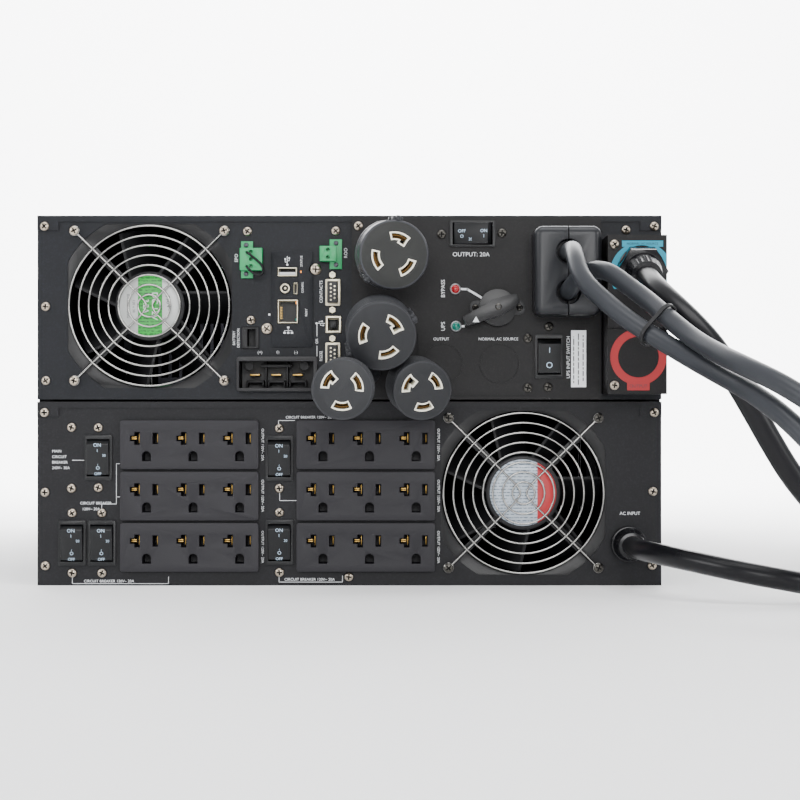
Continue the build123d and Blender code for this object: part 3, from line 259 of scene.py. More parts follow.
class Wire:
    # a socket with arithmetic: each operator adds its Math node
    def __init__(self, tree, socket):
        self.tree = tree
        self.socket = socket

    def math(self, operation, *others):
        node = self.tree.nodes.new("ShaderNodeMath")
        node.operation = operation
        for slot, value in zip(node.inputs, others):
            plug(self.tree, slot, value)
        return Wire(self.tree, node.outputs[0])

    def __add__(self, other):
        return self.math("ADD", self, other)

    def __radd__(self, other):
        return self.math("ADD", other, self)

    def __sub__(self, other):
        return self.math("SUBTRACT", self, other)

    def __rsub__(self, other):
        return self.math("SUBTRACT", other, self)

    def __mul__(self, other):
        return self.math("MULTIPLY", self, other)

    def __rmul__(self, other):
        return self.math("MULTIPLY", other, self)


def plug(tree, socket, value):
    if isinstance(value, Wire):
        tree.links.new(value.socket, socket)
    elif value is not None:
        socket.default_value = value


class Finish:
    # one material: add() makes any node from its type, its settings and its inputs
    def __init__(self, name):
        self.material = bpy.data.materials.new(name)
        self.material.use_nodes = True
        self.tree = self.material.node_tree
        self.shader = self.tree.nodes["Principled BSDF"]

    def add(self, kind, inputs, output=0, **settings):
        node = self.tree.nodes.new("ShaderNode" + kind)
        for key, value in settings.items():
            if key == "stops":
                ramp = node.color_ramp.elements
                for number, (place, colour) in enumerate(value):
                    stop = ramp[number] if number < 2 else ramp.new(place)
                    stop.position = place
                    stop.color = colour
            else:
                setattr(node, key, value)
        for key, value in inputs.items():
            plug(self.tree, node.inputs[key], value)
        return Wire(self.tree, node.outputs[output])

    def objectPlace(self, scale=(1, 1, 1)):
        place = self.add("TexCoord", {}, output="Object")
        return self.add("Mapping", {"Vector": place, "Scale": scale})

    def noise(self, scale, detail=3.0, rough=0.55, place=None):
        where = place or self.objectPlace()
        return self.add("TexNoise", {"Vector": where, "Scale": scale, "Detail": detail, "Roughness": rough})

    def mix(self, amount, first, second):
        return self.add("Mix", {"Factor": amount, 6: first, 7: second}, output=2, data_type="RGBA")

    def bump(self, height, distance, strength=1.0):
        return self.add("Bump", {"Height": height, "Distance": distance, "Strength": strength})

    def set(self, **values):
        for key, value in values.items():
            plug(self.tree, self.shader.inputs[key.replace("_", " ")], value)
        return self.material


def rgb(red, green, blue):
    # screen colour 0-255 to linear
    def linear(value):
        value = value / 255
        return value / 12.92 if value <= 0.04045 else ((value + 0.055) / 1.055) ** 2.4
    return (linear(red), linear(green), linear(blue), 1.0)


def shade(colour, factor):
    return tuple(part * factor for part in colour[:3]) + (1.0,)


def paleFloor():
    finish = Finish("paleFloor")
    cloud = finish.noise(1.5, 2.0)
    colour = finish.mix(cloud, rgb(246, 246, 247), rgb(251, 251, 251))
    return finish.set(Base_Color=colour, Roughness=0.75 + cloud * 0.1)


def powderCoat(name, colour, rough=0.5, peel=0.5):
    # baked powder paint: fine orange peel, faint cloudiness, a few lighter specks
    finish = Finish(name)
    peelNoise = finish.noise(900.0, 3.0)
    cloud = finish.noise(9.0, 4.0)
    speck = finish.noise(820.0, 2.0)
    speckMask = finish.add("ValToRGB", {"Fac": speck}, stops=((0.5, (0, 0, 0, 1)), (0.66, (1, 1, 1, 1))))
    base = finish.mix(cloud, shade(colour, 0.84), shade(colour, 1.12))
    spotted = finish.mix(speckMask * 0.5, base, shade(colour, 2.1))
    normal = finish.bump(peelNoise, 0.00016, peel)
    gloss = rough + cloud * 0.12 - 0.06
    return finish.set(Base_Color=spotted, Roughness=gloss, Normal=normal, Specular_IOR_Level=0.22)


def moulded(name, colour, rough=0.45, grain=900.0, depth=0.00006, strength=0.5):
    # moulded plastic: spark-eroded grain and slight unevenness of gloss
    finish = Finish(name)
    skin = finish.noise(grain, 4.0, 0.6)
    cloud = finish.noise(14.0, 3.0)
    base = finish.mix(cloud, shade(colour, 0.9), shade(colour, 1.1))
    grained = finish.mix(skin * 0.5, base, shade(colour, 1.35))
    normal = finish.bump(skin, depth, strength)
    gloss = rough + cloud * 0.14 - 0.07
    return finish.set(Base_Color=grained, Roughness=gloss, Normal=normal, Specular_IOR_Level=0.3)


def platedMetal(name, colour, rough=0.22, streak=(1, 1, 1), wear=0.1):
    # plated or plain metal: fine streaks along the way it was worked
    finish = Finish(name)
    place = finish.objectPlace(streak)
    lines = finish.noise(700.0, 4.0, 0.6, place)
    cloud = finish.noise(60.0, 3.0)
    base = finish.mix(cloud, shade(colour, 0.82), shade(colour, 1.08))
    normal = finish.bump(lines, 0.00002, 0.35)
    return finish.set(Base_Color=base, Metallic=1.0, Roughness=rough + lines * wear, Normal=normal)


def jacket(name, colour, rough=0.42):
    # extruded cord jacket: soft lengthwise unevenness, handling marks
    finish = Finish(name)
    fine = finish.noise(420.0, 4.0, 0.6)
    cloud = finish.noise(26.0, 3.0)
    base = finish.mix(cloud, shade(colour, 0.82), shade(colour, 1.2))
    normal = finish.bump(fine, 0.00008, 0.35)
    gloss = rough + cloud * 0.2 - 0.05
    return finish.set(Base_Color=base, Roughness=gloss, Normal=normal, Specular_IOR_Level=0.22)


def clearPlastic(name, colour, glow=0.0):
    finish = Finish(name)
    cloud = finish.noise(300.0, 2.0)
    base = finish.mix(cloud, shade(colour, 0.8), shade(colour, 1.2))
    gloss = 0.08 + cloud * 0.06
    return finish.set(Base_Color=base, Roughness=gloss, Emission_Color=base, Emission_Strength=glow)


finishes = dict(
    upperSheet=powderCoat("upperSheet", rgb(13, 15, 20)),
    lowerSheet=powderCoat("lowerSheet", rgb(16, 16, 19)),
    housingSheet=powderCoat("housingSheet", rgb(14, 13, 14)),
    satinBlack=moulded("satinBlack", rgb(19, 19, 21), 0.42),
    softBlack=moulded("softBlack", rgb(13, 13, 15), 0.5),
    glossBlack=moulded("glossBlack", rgb(10, 10, 12), 0.2, 1500.0, 0.00002, 0.2),
    stripPlastic=moulded("stripPlastic", rgb(27, 26, 30), 0.55, 1500.0, 0.00008, 0.7),
    # lighter than the outlet faces: on the locking outlets' sides this is painted sheen
    ribbedGrey=moulded("ribbedGrey", rgb(36, 37, 40), 0.55, 1200.0, 0.00006, 0.6),
    outletFace=moulded("outletFace", rgb(24, 25, 28), 0.45, 1200.0, 0.00005, 0.5),
    creamPlastic=moulded("creamPlastic", rgb(226, 222, 205), 0.45),
    nickelScrew=platedMetal("nickelScrew", rgb(178, 166, 150), 0.24),
    blackScrew=platedMetal("blackScrew", rgb(84, 82, 78), 0.3),
    chromeWire=platedMetal("chromeWire", rgb(158, 157, 154), 0.14, (1, 1, 1), 0.06),
    tinPlate=platedMetal("tinPlate", rgb(196, 188, 166), 0.28),
    brass=platedMetal("brass", rgb(176, 142, 78), 0.28),
    castAluminium=platedMetal("castAluminium", rgb(190, 191, 193), 0.35),
    coreSteel=platedMetal("coreSteel", rgb(92, 92, 96), 0.5, (1, 8, 1), 0.2),
    copper=platedMetal("copper", rgb(178, 98, 58), 0.3, (1, 1, 12), 0.15),
    terminalGreen=moulded("terminalGreen", rgb(38, 138, 84), 0.35),
    boardGreen=moulded("boardGreen", rgb(28, 92, 56), 0.35),
    greyJacket=jacket("greyJacket", rgb(42, 44, 48), 0.32),
    blackJacket=jacket("blackJacket", rgb(8, 8, 12), 0.26),
    redLens=clearPlastic("redLens", rgb(150, 14, 24), 0.04),
    greenLens=clearPlastic("greenLens", rgb(14, 104, 90), 0.04),
    amberLens=clearPlastic("amberLens", rgb(255, 150, 30), 0.8),
    smokedGlass=clearPlastic("smokedGlass", rgb(12, 16, 22)),
    printWhite=moulded("printWhite", rgb(214, 216, 218), 0.6),
    cyanPlastic=moulded("cyanPlastic", rgb(8, 128, 152), 0.45),
    redPlastic=moulded("redPlastic", rgb(138, 34, 37), 0.5),
    # painted sheen: the first outlet's sides, lighter than its face
    smoothGreySheen=moulded("smoothGreySheen", rgb(46, 47, 51), 0.36, 1500.0, 0.00003, 0.4),
    oliveFace=moulded("oliveFace", rgb(27, 28, 27), 0.5, 1200.0, 0.00005, 0.5),
    # brass at about half brightness, for the contacts deep in the locking outlets' slots
    darkBrass=platedMetal("darkBrass", rgb(86, 64, 36), 0.42),
    printPale=moulded("printPale", rgb(176, 196, 214), 0.6),
    printDark=moulded("printDark", rgb(46, 50, 54), 0.6),
    rockerBlack=moulded("rockerBlack", rgb(11, 12, 14), 0.36, 1500.0, 0.00003, 0.4),
    knobBlack=moulded("knobBlack", rgb(12, 12, 14), 0.3, 1300.0, 0.00004, 0.5),
    clampGrey=moulded("clampGrey", rgb(27, 28, 31), 0.32, 1300.0, 0.00004, 0.5),
    glandBlack=moulded("glandBlack", rgb(9, 9, 12), 0.2, 1500.0, 0.00002, 0.3),
    screenGlow=clearPlastic("screenGlow", rgb(120, 200, 220), 0.7),
    # painted shade: dark sheets that close the inside of the unit and the gap between the modules
    shadeSheetBlack=moulded("shadeSheetBlack", rgb(9, 9, 10), 0.9, 500.0, 0.0004, 1.0),
    fanBlack=moulded("fanBlack", rgb(7, 7, 9), 0.36),
    # painted shade: a dark material for the cross recesses of screw heads
    paintedRecessShade=moulded("paintedRecessShade", rgb(16, 15, 14), 0.8),
    seamBlack=moulded("seamBlack", rgb(8, 8, 9), 0.7),
    stickerWhite=moulded("stickerWhite", rgb(242, 243, 246), 0.5),
    palePlastic=moulded("palePlastic", rgb(196, 197, 200), 0.4),
    darkSteel=platedMetal("darkSteel", rgb(70, 70, 76), 0.35),
    whiteLens=clearPlastic("whiteLens", rgb(236, 238, 240), 0.4),
)
print("finishes made:", len(finishes))

nodeFinish = dict(
    upper_pan="upperSheet", upper_lid="upperSheet", upper_rear_panel="upperSheet", upper_bezel="satinBlack",
    display_screen="smokedGlass", power_button="glossBlack", menu_button="glossBlack", lower_pan="lowerSheet",
    lower_lid="lowerSheet", lower_rear_panel="lowerSheet", lower_bezel="satinBlack", rack_ears="lowerSheet",
    spacer_pads="softBlack", fan_frames="satinBlack", upper_fan_rotor="softBlack", lower_fan_rotor="softBlack",
    fan_guards="chromeWire", switch_bodies="glossBlack", outlet_strips="stripPlastic", ac_gland="softBlack",
    transformer_core="coreSteel", transformer_windings="copper", card_faceplate="upperSheet",
    data_ports="tinPlate", terminal_plugs="terminalGreen", epo_jumper="blackJacket",
    battery_sense_socket="softBlack", battery_connector="satinBlack", battery_contacts="brass",
    pdu_housing="housingSheet", wiring_covers="housingSheet", terminal_box="housingSheet",
    input_gland="softBlack", cord_clamp="satinBlack", bypass_switch="satinBlack", bypass_knob="softBlack",
    indicator_lamps="redLens",
    large_locking_outlets="ribbedGrey", small_locking_outlets="ribbedGrey", outlet_necks="ribbedGrey",
    circuit_boards="boardGreen", heatsinks="darkSteel", silver_screws="nickelScrew",
    black_screws="blackScrew", output_breaker_rocker="satinBlack", input_switch_rocker="satinBlack",
    output_cord_connectors="ribbedGrey", cable_tie="softBlack", cord_plugs="softBlack",
)


def coatNodes():
    for name, obj in nodes.items():
        key = nodeFinish.get(name, "satinBlack")
        obj.data.materials.clear()
        obj.data.materials.append(finishes[key])


# cords

leadPoints = dict(
    upper=[
        (151.0, -344, 232.1), (151.0, -384, 232.1), (149.8, -413, 226.0), (151.5, -440, 208.5),
        (164.5, -464, 192.5), (179.3, -484, 177.9), (197.4, -502, 165.0), (212.4, -524, 153.6),
        (224.4, -550, 144.3), (236.4, -582, 134.8), (253, -614, 118), (275, -642, 88), (301, -655, 52),
        (331, -652, 22), (361, -640, 8), (391, -630, 6.2), (417, -612, 6.2), (436, -586, 7),
        (446, -559, 13), (449, -531, 19.5), (449, -503, 19.5),
    ],
    lower=[
        (151.0, -344, 204.4), (151.3, -378, 207.6), (158.5, -399, 215.5), (169.4, -424, 215.4),
        (182.2, -448, 202.3), (192.3, -470, 191.6), (200.7, -496, 179.9), (211.0, -522, 167.5),
        (220.4, -550, 158.4), (232.5, -582, 149.5), (252, -614, 137), (279, -642, 114), (310, -660, 84),
        (341, -668, 51), (370, -669, 24), (399, -663, 9), (428, -651, 6.2), (454, -633, 6.2),
        (474, -608, 6.2), (487, -580, 7), (493, -553, 13), (495, -526, 19.5), (495, -498, 19.5),
    ],
    input=[
        (199.6, -396.05, 212.06), (199.6, -420.3, 206.0), (206.8, -445, 195.0), (219.0, -464, 180.2),
        (231.8, -474, 164.0), (243.0, -478, 145.2), (254.8, -478, 125.2), (267, -476, 104), (281, -472, 82),
        (300, -468, 60), (321, -463, 39), (344, -455.5, 22), (364, -441, 11.5), (377.5, -420, 8.0),
        (382.5, -395, 7.6), (381.5, -368, 7.6), (379.5, -341, 7.6), (378.3, -312, 7.6), (378.3, -285, 7.6),
    ],
    transformer=[
        (195.5, -346, 29.5), (195.5, -373, 29.5), (203.5, -401, 29.0), (218.5, -424, 27.0),
        (236.8, -441, 23.8), (257.3, -452, 20.0), (280, -454, 16.0), (302, -447, 11.5), (320, -432, 8.2),
        (333, -411, 7.2), (340, -387, 7.1), (343, -360, 7.1), (342, -330, 7.1), (339, -298, 7.1),
        (341, -264, 7.1), (348, -230, 7.1), (358, -198, 7.1), (369, -168, 7.1), (380, -139, 7.1),
        (387, -109, 7.1), (389.8, -80, 7.1), (389.8, -58, 7.1),
    ],
)
coils = dict(
    input=dict(centre=(468.5, -262.0), diameter=15.0, turns=2.5),
    transformer=dict(centre=(474.0, -37.0), diameter=14.0, turns=2.5),
)
coilShape = dict(
    # points in a turn, lengths in cord diameters, and the turns at which the cord steps inwards and upwards
    turnPoints=16, middle=5.5, beside=0.515, lift=0.93, plugArm=6.55,
    inwardFrom=0.86, upwardFrom=1.72, over=0.2,
)


def coilPoints(coil):
    # an outer and an inner turn side by side on the floor, and half a turn in the groove on top
    shape = coilShape
    diameter = coil["diameter"]
    middle = shape["middle"] * diameter
    beside = shape["beside"] * diameter
    low = diameter / 2 + 0.1
    stretch = 1 / math.cos(math.pi / shape["turnPoints"]) - 0.005
    points = []
    count = int(coil["turns"] * shape["turnPoints"])
    for number in range(1, count + 1):
        turn = number / shape["turnPoints"]
        inward = min(max((turn - shape["inwardFrom"]) / shape["over"], 0), 1)
        upward = min(max((turn - shape["upwardFrom"]) / shape["over"], 0), 1)
        radius = middle + beside * (1 - 2 * inward + upward)
        height = low + shape["lift"] * diameter * upward
        angle = math.pi - 2 * math.pi * turn
        x = coil["centre"][0] + radius * stretch * math.cos(angle)
        y = coil["centre"][1] + radius * stretch * math.sin(angle)
        points.append((x, y, height))
    return points


def splineCurve(name, points, radius, steps, roundness):
    # a smooth line of the given thickness through control points in millimetres
    data = bpy.data.curves.new(name, "CURVE")
    data.dimensions = "3D"
    spline = data.splines.new("NURBS")
    spline.points.add(len(points) - 1)
    for point, place in zip(spline.points, points):
        point.co = (place[0] * mm, place[1] * mm, place[2] * mm, 1)
    spline.order_u = 3
    spline.use_endpoint_u = True
    spline.resolution_u = steps
    data.bevel_depth = radius * mm
    data.bevel_resolution = roundness
    data.use_fill_caps = True
    return data


def cordCurve(name, points, diameter, material):
    data = splineCurve(name, points, diameter / 2, 8, 7)
    obj = bpy.data.objects.new(name, data)
    bpy.context.collection.objects.link(obj)
    data.materials.append(material)
    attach(obj, "chassis")
    return obj


def splineLength(points):
    # length of the smooth line that the points control, in metres
    data = splineCurve("probe", points, 0, 8, 0)
    length = data.splines[0].calc_length()
    bpy.data.curves.remove(data)
    return length


def makePlug(name, foot, radius, length, toward, material, blades):
    # round rubber plug or connector lying on the floor: ribbed grip, collar and face
    steps = [(radius * 0.42, 0), (radius * 0.5, 3), (radius * 0.62, 7), (radius * 0.93, 10)]
    depth = 12.0
    grip = length * 0.62
    while depth < grip:
        steps += [(radius * 0.93, depth), (radius * 0.97, depth + 0.8), (radius * 0.97, depth + 2.2),
                  (radius * 0.93, depth + 3.0)]
        depth += 4.2
    steps += [(radius * 0.93, depth), (radius, depth + 1.5), (radius, length - 15),
              (radius * 0.96, length - 14), (radius * 0.9, length - 14)]
    body = turned(steps, (0, 0, 0), 56)
    parts = [body]
    for number in range(blades):
        angle = math.radians(90 + number * 120)
        middle = radius * 0.52
        blade = block((-4.2, length - 14.5, -0.9), (4.2, length - 0.5, 0.9), 0.4)
        blade.data.transform(Matrix.Translation((0, 0, middle * mm)))
        blade.data.transform(Matrix.Rotation(angle, 4, "Y"))
        parts.append(blade)
    plugPiece = joined(parts)
    if toward < 0:
        plugPiece.data.transform(Matrix.Rotation(math.pi, 4, "Z"))
    plugPiece.data.transform(Matrix.Translation((foot[0] * mm, foot[1] * mm, radius * mm)))
    plugPiece = settle(plugPiece, name)
    plugPiece.data.materials.append(material)
    plugPiece.data.materials.append(finishes["brass"])
    for face in plugPiece.data.polygons:
        reach = (face.center.y / mm - foot[1]) * toward
        face.material_index = 1 if blades and reach > length - 13.9 else 0
    smooth(plugPiece, 30)
    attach(plugPiece, "chassis")
    return plugPiece


cordEnds = dict(
    connector=dict(radius=19.5, length=62.0, upperFoot=(449.0, -503.0), lowerFoot=(495.0, -498.0)),
    plug=dict(radius=24.0, length=68.0, blades=3),
    leadDiameter=12.0,
)


def describeCord(points, kind, stands):
    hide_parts(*stands)
    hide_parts("output_cord_connectors" if kind == "connector" else "cord_plugs")
    tuple(part * mm for part in points[0])
    splineLength(points)


def addCords():
    shape = cordEnds["connector"]
    for key, name in (("upper", "outputCordUpper"), ("lower", "outputCordLower")):
        points = leadPoints[key]
        diameter = cordEnds["leadDiameter"]
        end = makePlug(name + "Connector", shape[key + "Foot"], shape["radius"], shape["length"], 1,
                       finishes["ribbedGrey"], 0)
        lead = cordCurve(name, points, diameter, finishes["greyJacket"])
        describeCord(points, "connector", ("output_cord_" + key,))
    shape = cordEnds["plug"]
    for key, name in (("input", "inputCord"), ("transformer", "transformerCord")):
        coil = coils[key]
        diameter = coil["diameter"]
        x, y = coil["centre"]
        middle, arm = coilShape["middle"] * diameter, coilShape["plugArm"] * diameter
        side = x + middle
        footY = y - math.sqrt(arm ** 2 - middle ** 2)
        points = leadPoints[key] + coilPoints(coil)
        points += [(side, y - 24, points[-1][2] + 0.3), (side, footY + 12, 23.6), (side, footY, 24.0)]
        end = makePlug(name + "Plug", (side, footY), shape["radius"], shape["length"], -1,
                       finishes["softBlack"], shape["blades"])
        cord = cordCurve(name, points, diameter, finishes["blackJacket"])
        stands = (key + "_cord", key + "_cord_coil")
        describeCord(points, "plug", stands)
    print("cords laid")


# pieces read from the frame


def solidsOf(nodeName):
    # box of each separate solid in a CAD node, in millimetres: [(low, high), ...]
    mesh = nodes[nodeName].data
    keys = {}
    parent = []

    def find(item):
        while parent[item] != item:
            parent[item] = parent[parent[item]]
            item = parent[item]
        return item

    spot = []
    for vertex in mesh.vertices:
        key = tuple(round(part * 1e5) for part in vertex.co)
        if key not in keys:
            keys[key] = len(parent)
            parent.append(len(parent))
        spot.append(keys[key])
    for face in mesh.polygons:
        first = find(spot[face.vertices[0]])
        for corner in face.vertices[1:]:
            parent[find(spot[corner])] = first
    boxes = {}
    for vertex, key in zip(mesh.vertices, spot):
        low, high = boxes.setdefault(find(key), ([1e9] * 3, [-1e9] * 3))
        for axis in range(3):
            low[axis] = min(low[axis], vertex.co[axis] / mm)
            high[axis] = max(high[axis], vertex.co[axis] / mm)
    return sorted(boxes.values())


def middleOf(low, high):
    # middle of a box across and up
    return (low[0] + high[0]) / 2, (low[2] + high[2]) / 2


def centreOf(nodeName):
    x, z = middleOf(*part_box(nodeName))
    return x / mm, z / mm


def rearOf(nodeName):
    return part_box(nodeName)[0].y / mm


def frontOf(nodeName):
    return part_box(nodeName)[1].y / mm


def panelYOf(nodeName, x, z):
    # rearmost surface of a CAD node above one spot
    mesh = nodes[nodeName].data
    corners = [point.co for point in mesh.vertices]
    tree = BVHTree.FromPolygons(corners, [face.vertices for face in mesh.polygons])
    place = tree.ray_cast(Vector((x * mm, -1.0, z * mm)), Vector((0, 1, 0)))[0]
    return place.y / mm if place else rearY


rearY = rearOf("lower_rear_panel")
housingY = rearOf("pdu_housing")
cardY = rearOf("card_faceplate")


def refined(nodeName, name, material, width=0.4, segments=2, body="chassis", angle=35):
    # the CAD shape with its edges rounded: a merged copy, cleared of flat seams and bevelled
    copy = nodes[nodeName].copy()
    copy.data = nodes[nodeName].data.copy()
    copy.parent = None
    bpy.context.collection.objects.link(copy)
    pickOnly(copy)
    editAll()
    bpy.ops.mesh.remove_doubles(threshold=0.000005)
    bpy.ops.mesh.dissolve_limited(angle_limit=math.radians(2))
    leaveEdit()
    soften(copy, width, segments, angle)
    return finishPiece(copy, name, material, body, angle, replaces=(nodeName,))


# screws

screwShape = dict(height=1.9, sides=28, recessWidth=1.1, recessLength=3.9, recessDepth=1.7,
                  besideBreaker=((-195.0, 111.0), (-195.0, 68.2)))


def makeScrewHead(radius, finish="blackScrew"):
    steps = [(radius * 0.92, 0.02), (radius, -0.35), (radius * 0.98, -0.75), (radius * 0.86, -1.3),
             (radius * 0.62, -1.68), (radius * 0.34, -1.85), (radius * 0.08, -1.9)]
    head = turned(steps, sides=screwShape["sides"])
    half = screwShape["recessWidth"] / 2
    reach = screwShape["recessLength"] / 2 * radius / 3.2
    deep = -1.95 + screwShape["recessDepth"]
    across = block((-reach, -2.4, -half), (reach, deep, half))
    upright = block((-half, -2.4, -reach), (half, deep - 0.02, reach))
    carve(head, across)
    carve(head, upright)
    head.data.materials.append(finishes[finish])
    # the recess walls and floor take a dark material: painted shade in the cross
    head.data.materials.append(finishes["paintedRecessShade"])
    for face in head.data.polygons:
        centre = face.center / mm
        wall = abs(face.normal.y) < 0.3 and centre.y < -0.3
        floor = face.normal.y < -0.9 and centre.y > deep - 0.1
        if math.hypot(centre.x, centre.z) < reach * 1.02 and (wall or floor):
            face.material_index = 1
    return head


def addScrews():
    groups = (("silver_screws", "silverScrews", "nickelScrew"), ("black_screws", "blackScrews", "blackScrew"))
    for node, name, finish in groups:
        heads = {}
        copies = []
        for number, (low, high) in enumerate(solidsOf(node)):
            radius = round((high[0] - low[0]) / 2, 1)
            if radius not in heads:
                heads[radius] = makeScrewHead(radius, finish)
            x, z = middleOf(low, high)
            place = (x, low[1] + screwShape["height"], z)
            copies.append(copyAt(heads[radius], place, turn=(number * 47) % 90))
            shank = turned([(1.4, 0.0), (1.4, high[1] - low[1] - screwShape["height"])], place, 10)
            shank.data.materials.append(finishes[finish])
            copies.append(shank)
        if node == "silver_screws":
            for x, z in screwShape["besideBreaker"]:
                copies.append(copyAt(heads[min(heads)], (x, rearY, z), turn=20))
        for head in heads.values():
            bpy.data.objects.remove(head)
        heads = smooth(settle(joined(copies), name), 40)
        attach(heads, "chassis")
        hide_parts(node)
    print("screws set")


# fans

guard = dict(rings=8, first=7.8, step=6.9, wire=0.68, holePitch=105.0, apex=2.2, eyelet=3.1)
hubLabels = (
    dict(name="upperHubLabel", radius=21.6, face="silver"),
    dict(name="lowerHubLabel", radius=23.4, face="blue"),
)
hubPrint = dict(
    # text, x, z, capital height, turn
    hubWords=("printWhite", (("DC 12V", -137.0, 196.2, 4.6, -90), ("3.2A", -143.2, 196.2, 4.2, -90))),
    hubSmallWords=("printDark", (("FAN", -127.4, 199.5, 3.4, -80), ("BALL BEARING", -155.6, 196.2, 2.0, -90),
                                 ("120 x 38", -151.6, 196.2, 2.0, -90))),
)


def wireAlong(points, radius):
    wire = bpy.data.objects.new("wire", splineCurve("wire", points, radius, 6, 2))
    bpy.context.collection.objects.link(wire)
    pickOnly(wire)
    bpy.ops.object.convert(target="MESH")
    return bpy.context.object


def makeGuard(x, y, z):
    parts = []
    ringY = y + guard["wire"]
    spokeY = ringY + 1.2
    for number in range(guard["rings"]):
        radius = guard["first"] + guard["step"] * number
        bpy.ops.mesh.primitive_torus_add(
            location=(x * mm, ringY * mm, z * mm), rotation=(math.pi / 2, 0, 0), major_radius=radius * mm,
            minor_radius=guard["wire"] * mm, major_segments=40 + 8 * number, minor_segments=10,
        )
        parts.append(settle(bpy.context.object))
    half = guard["holePitch"] / 2
    near = half - 2.2
    for side in (-1, 1):
        apex = guard["apex"]
        reach = [(near, near), (14.0, 14.6), (apex, 3.0), (apex, -3.0), (14.0, -14.6), (near, -near)]
        line = [(x + side * a, spokeY, z + b) for a, b in reach]
        parts.append(wireAlong(line, guard["wire"] * 1.05))
    for a in (-1, 1):
        for b in (-1, 1):
            bpy.ops.mesh.primitive_torus_add(
                location=((x + a * half) * mm, spokeY * mm, (z + b * half) * mm), rotation=(math.pi / 2, 0, 0),
                major_radius=guard["eyelet"] * mm, minor_radius=guard["wire"] * mm,
                major_segments=28, minor_segments=8,
            )
            parts.append(settle(bpy.context.object))
    return parts


def labelFinish(face, x, z):
    # printed hub label: bands and rows of illegible print, centred on the hub
    finish = Finish("hubLabel" + face)
    place = finish.add("TexCoord", {}, output="Object")
    centred = finish.add("Mapping", {"Vector": place, "Location": (-x * mm, 0, -z * mm)})
    across = finish.add("SeparateXYZ", {"Vector": centred}, output=0)
    upright = finish.add("SeparateXYZ", {"Vector": centred}, output=2)
    rows = upright.math("PINGPONG", upright + 0.1, 0.0011)
    blots = finish.noise(900.0, 1.0, 0.5, centred)
    if face == "silver":
        base, band, ink = rgb(172, 174, 172), rgb(20, 160, 50), rgb(28, 46, 34)
        inBand = finish.add("Math", {0: across.math("ABSOLUTE", across), 1: 0.0085}, operation="LESS_THAN")
        inRows = finish.add("Math", {0: rows, 1: 0.00062}, operation="GREATER_THAN")
        inkMask = inRows * finish.add("Math", {0: blots, 1: 0.5}, operation="GREATER_THAN") * inBand
    else:
        base, band, ink = rgb(176, 186, 196), rgb(178, 30, 38), rgb(70, 84, 100)
        inBand = finish.add("Math", {0: across, 1: 0.010}, operation="GREATER_THAN")
        inRows = finish.add("Math", {0: rows, 1: 0.0007}, operation="GREATER_THAN")
        inkMask = inRows * finish.add("Math", {0: blots, 1: 0.46}, operation="GREATER_THAN") * (1 - inBand)
    colour = finish.mix(inBand, base, band)
    colour = finish.mix(inkMask * 0.9, colour, ink)
    return finish.set(Base_Color=colour, Roughness=0.32 + blots * 0.1, Metallic=0.25 * (1 - inBand))


def addFans():
    parts = []
    for low, high in solidsOf("fan_guards"):
        x, z = middleOf(low, high)
        parts += makeGuard(x, low[1], z)
    finishPiece(joined(parts), "fanGuards", finishes["chromeWire"], angle=60, replaces=("fan_guards",))
    hubs = sorted(solidsOf("fan_frames"))
    for (low, high), label in zip(hubs, hubLabels):
        x, z = middleOf(low, high)
        radius = label["radius"]
        disc = [(radius, 0.05), (radius, -0.12), (radius - 0.15, -0.2), (radius - 8, -0.2)]
        rim = [(radius + 2.6, 0.05), (radius + 2.6, -0.5), (radius + 1.9, -0.9), (radius + 0.5, -0.9),
               (radius + 0.3, -0.1)]
        finishPiece(turned(disc, (x, low[1], z), 56), label["name"], labelFinish(label["face"], x, z))
        finishPiece(turned(rim, (x, low[1], z), 56), label["name"] + "Rim", finishes["satinBlack"])
    front = hubs[0][0][1] - 0.2
    for name, (ink, texts) in hubPrint.items():
        words = [word(text, x, front, z, size, turn, "CENTER") for text, x, z, size, turn in texts]
        finishPiece(joined(words), name, finishes[ink])
    refined("fan_frames", "fanFrames", finishes["fanBlack"], 0.5)
    refined("upper_fan_rotor", "upperFanRotor", finishes["softBlack"], 0.3, body="upper_fan")
    refined("lower_fan_rotor", "lowerFanRotor", finishes["softBlack"], 0.3, body="lower_fan")
    print("fans fitted")


# sizes of the dark sheets and strips that stand in for shade
paintedShadeSheets = dict(margin=8.0, gap=1.0, thickness=2.0,
            stripInset=1.2, stripHalf=4.8, stripStart=4.0, stripEnd=244.0)


def addShadeSheets():
    # dark sheets, textured like foam, behind each front bezel and dark strips in the gap between the modules,
    # so that no light comes through: painted shade for the inside of the unit and for the gap
    margin = paintedShadeSheets["margin"]
    for node in ("upper_bezel", "lower_bezel"):
        low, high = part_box(node)
        near = low.y / mm + paintedShadeSheets["gap"]
        sheet = block((low.x / mm + margin, near, low.z / mm + margin),
                      (high.x / mm - margin, near + paintedShadeSheets["thickness"], high.z / mm - margin), 0.5)
        finishPiece(sheet, node.replace("_bezel", "ShadeSheet"), finishes["shadeSheetBlack"])
    low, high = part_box("spacer_pads")
    strips = []
    for side in (-1, 1):
        middle = side * (high.x / mm - paintedShadeSheets["stripInset"])
        strips.append(block((middle - paintedShadeSheets["stripHalf"], rearY + paintedShadeSheets["stripStart"], low.z / mm),
                            (middle + paintedShadeSheets["stripHalf"], paintedShadeSheets["stripEnd"], high.z / mm), 0.3, 2))
    finishPiece(joined(strips), "gapShadeStrips", finishes["shadeSheetBlack"])
    print("filters laid")


# printed words and lines

printed = dict(proud=0.04, thickness=0.04, capitalShare=0.78)


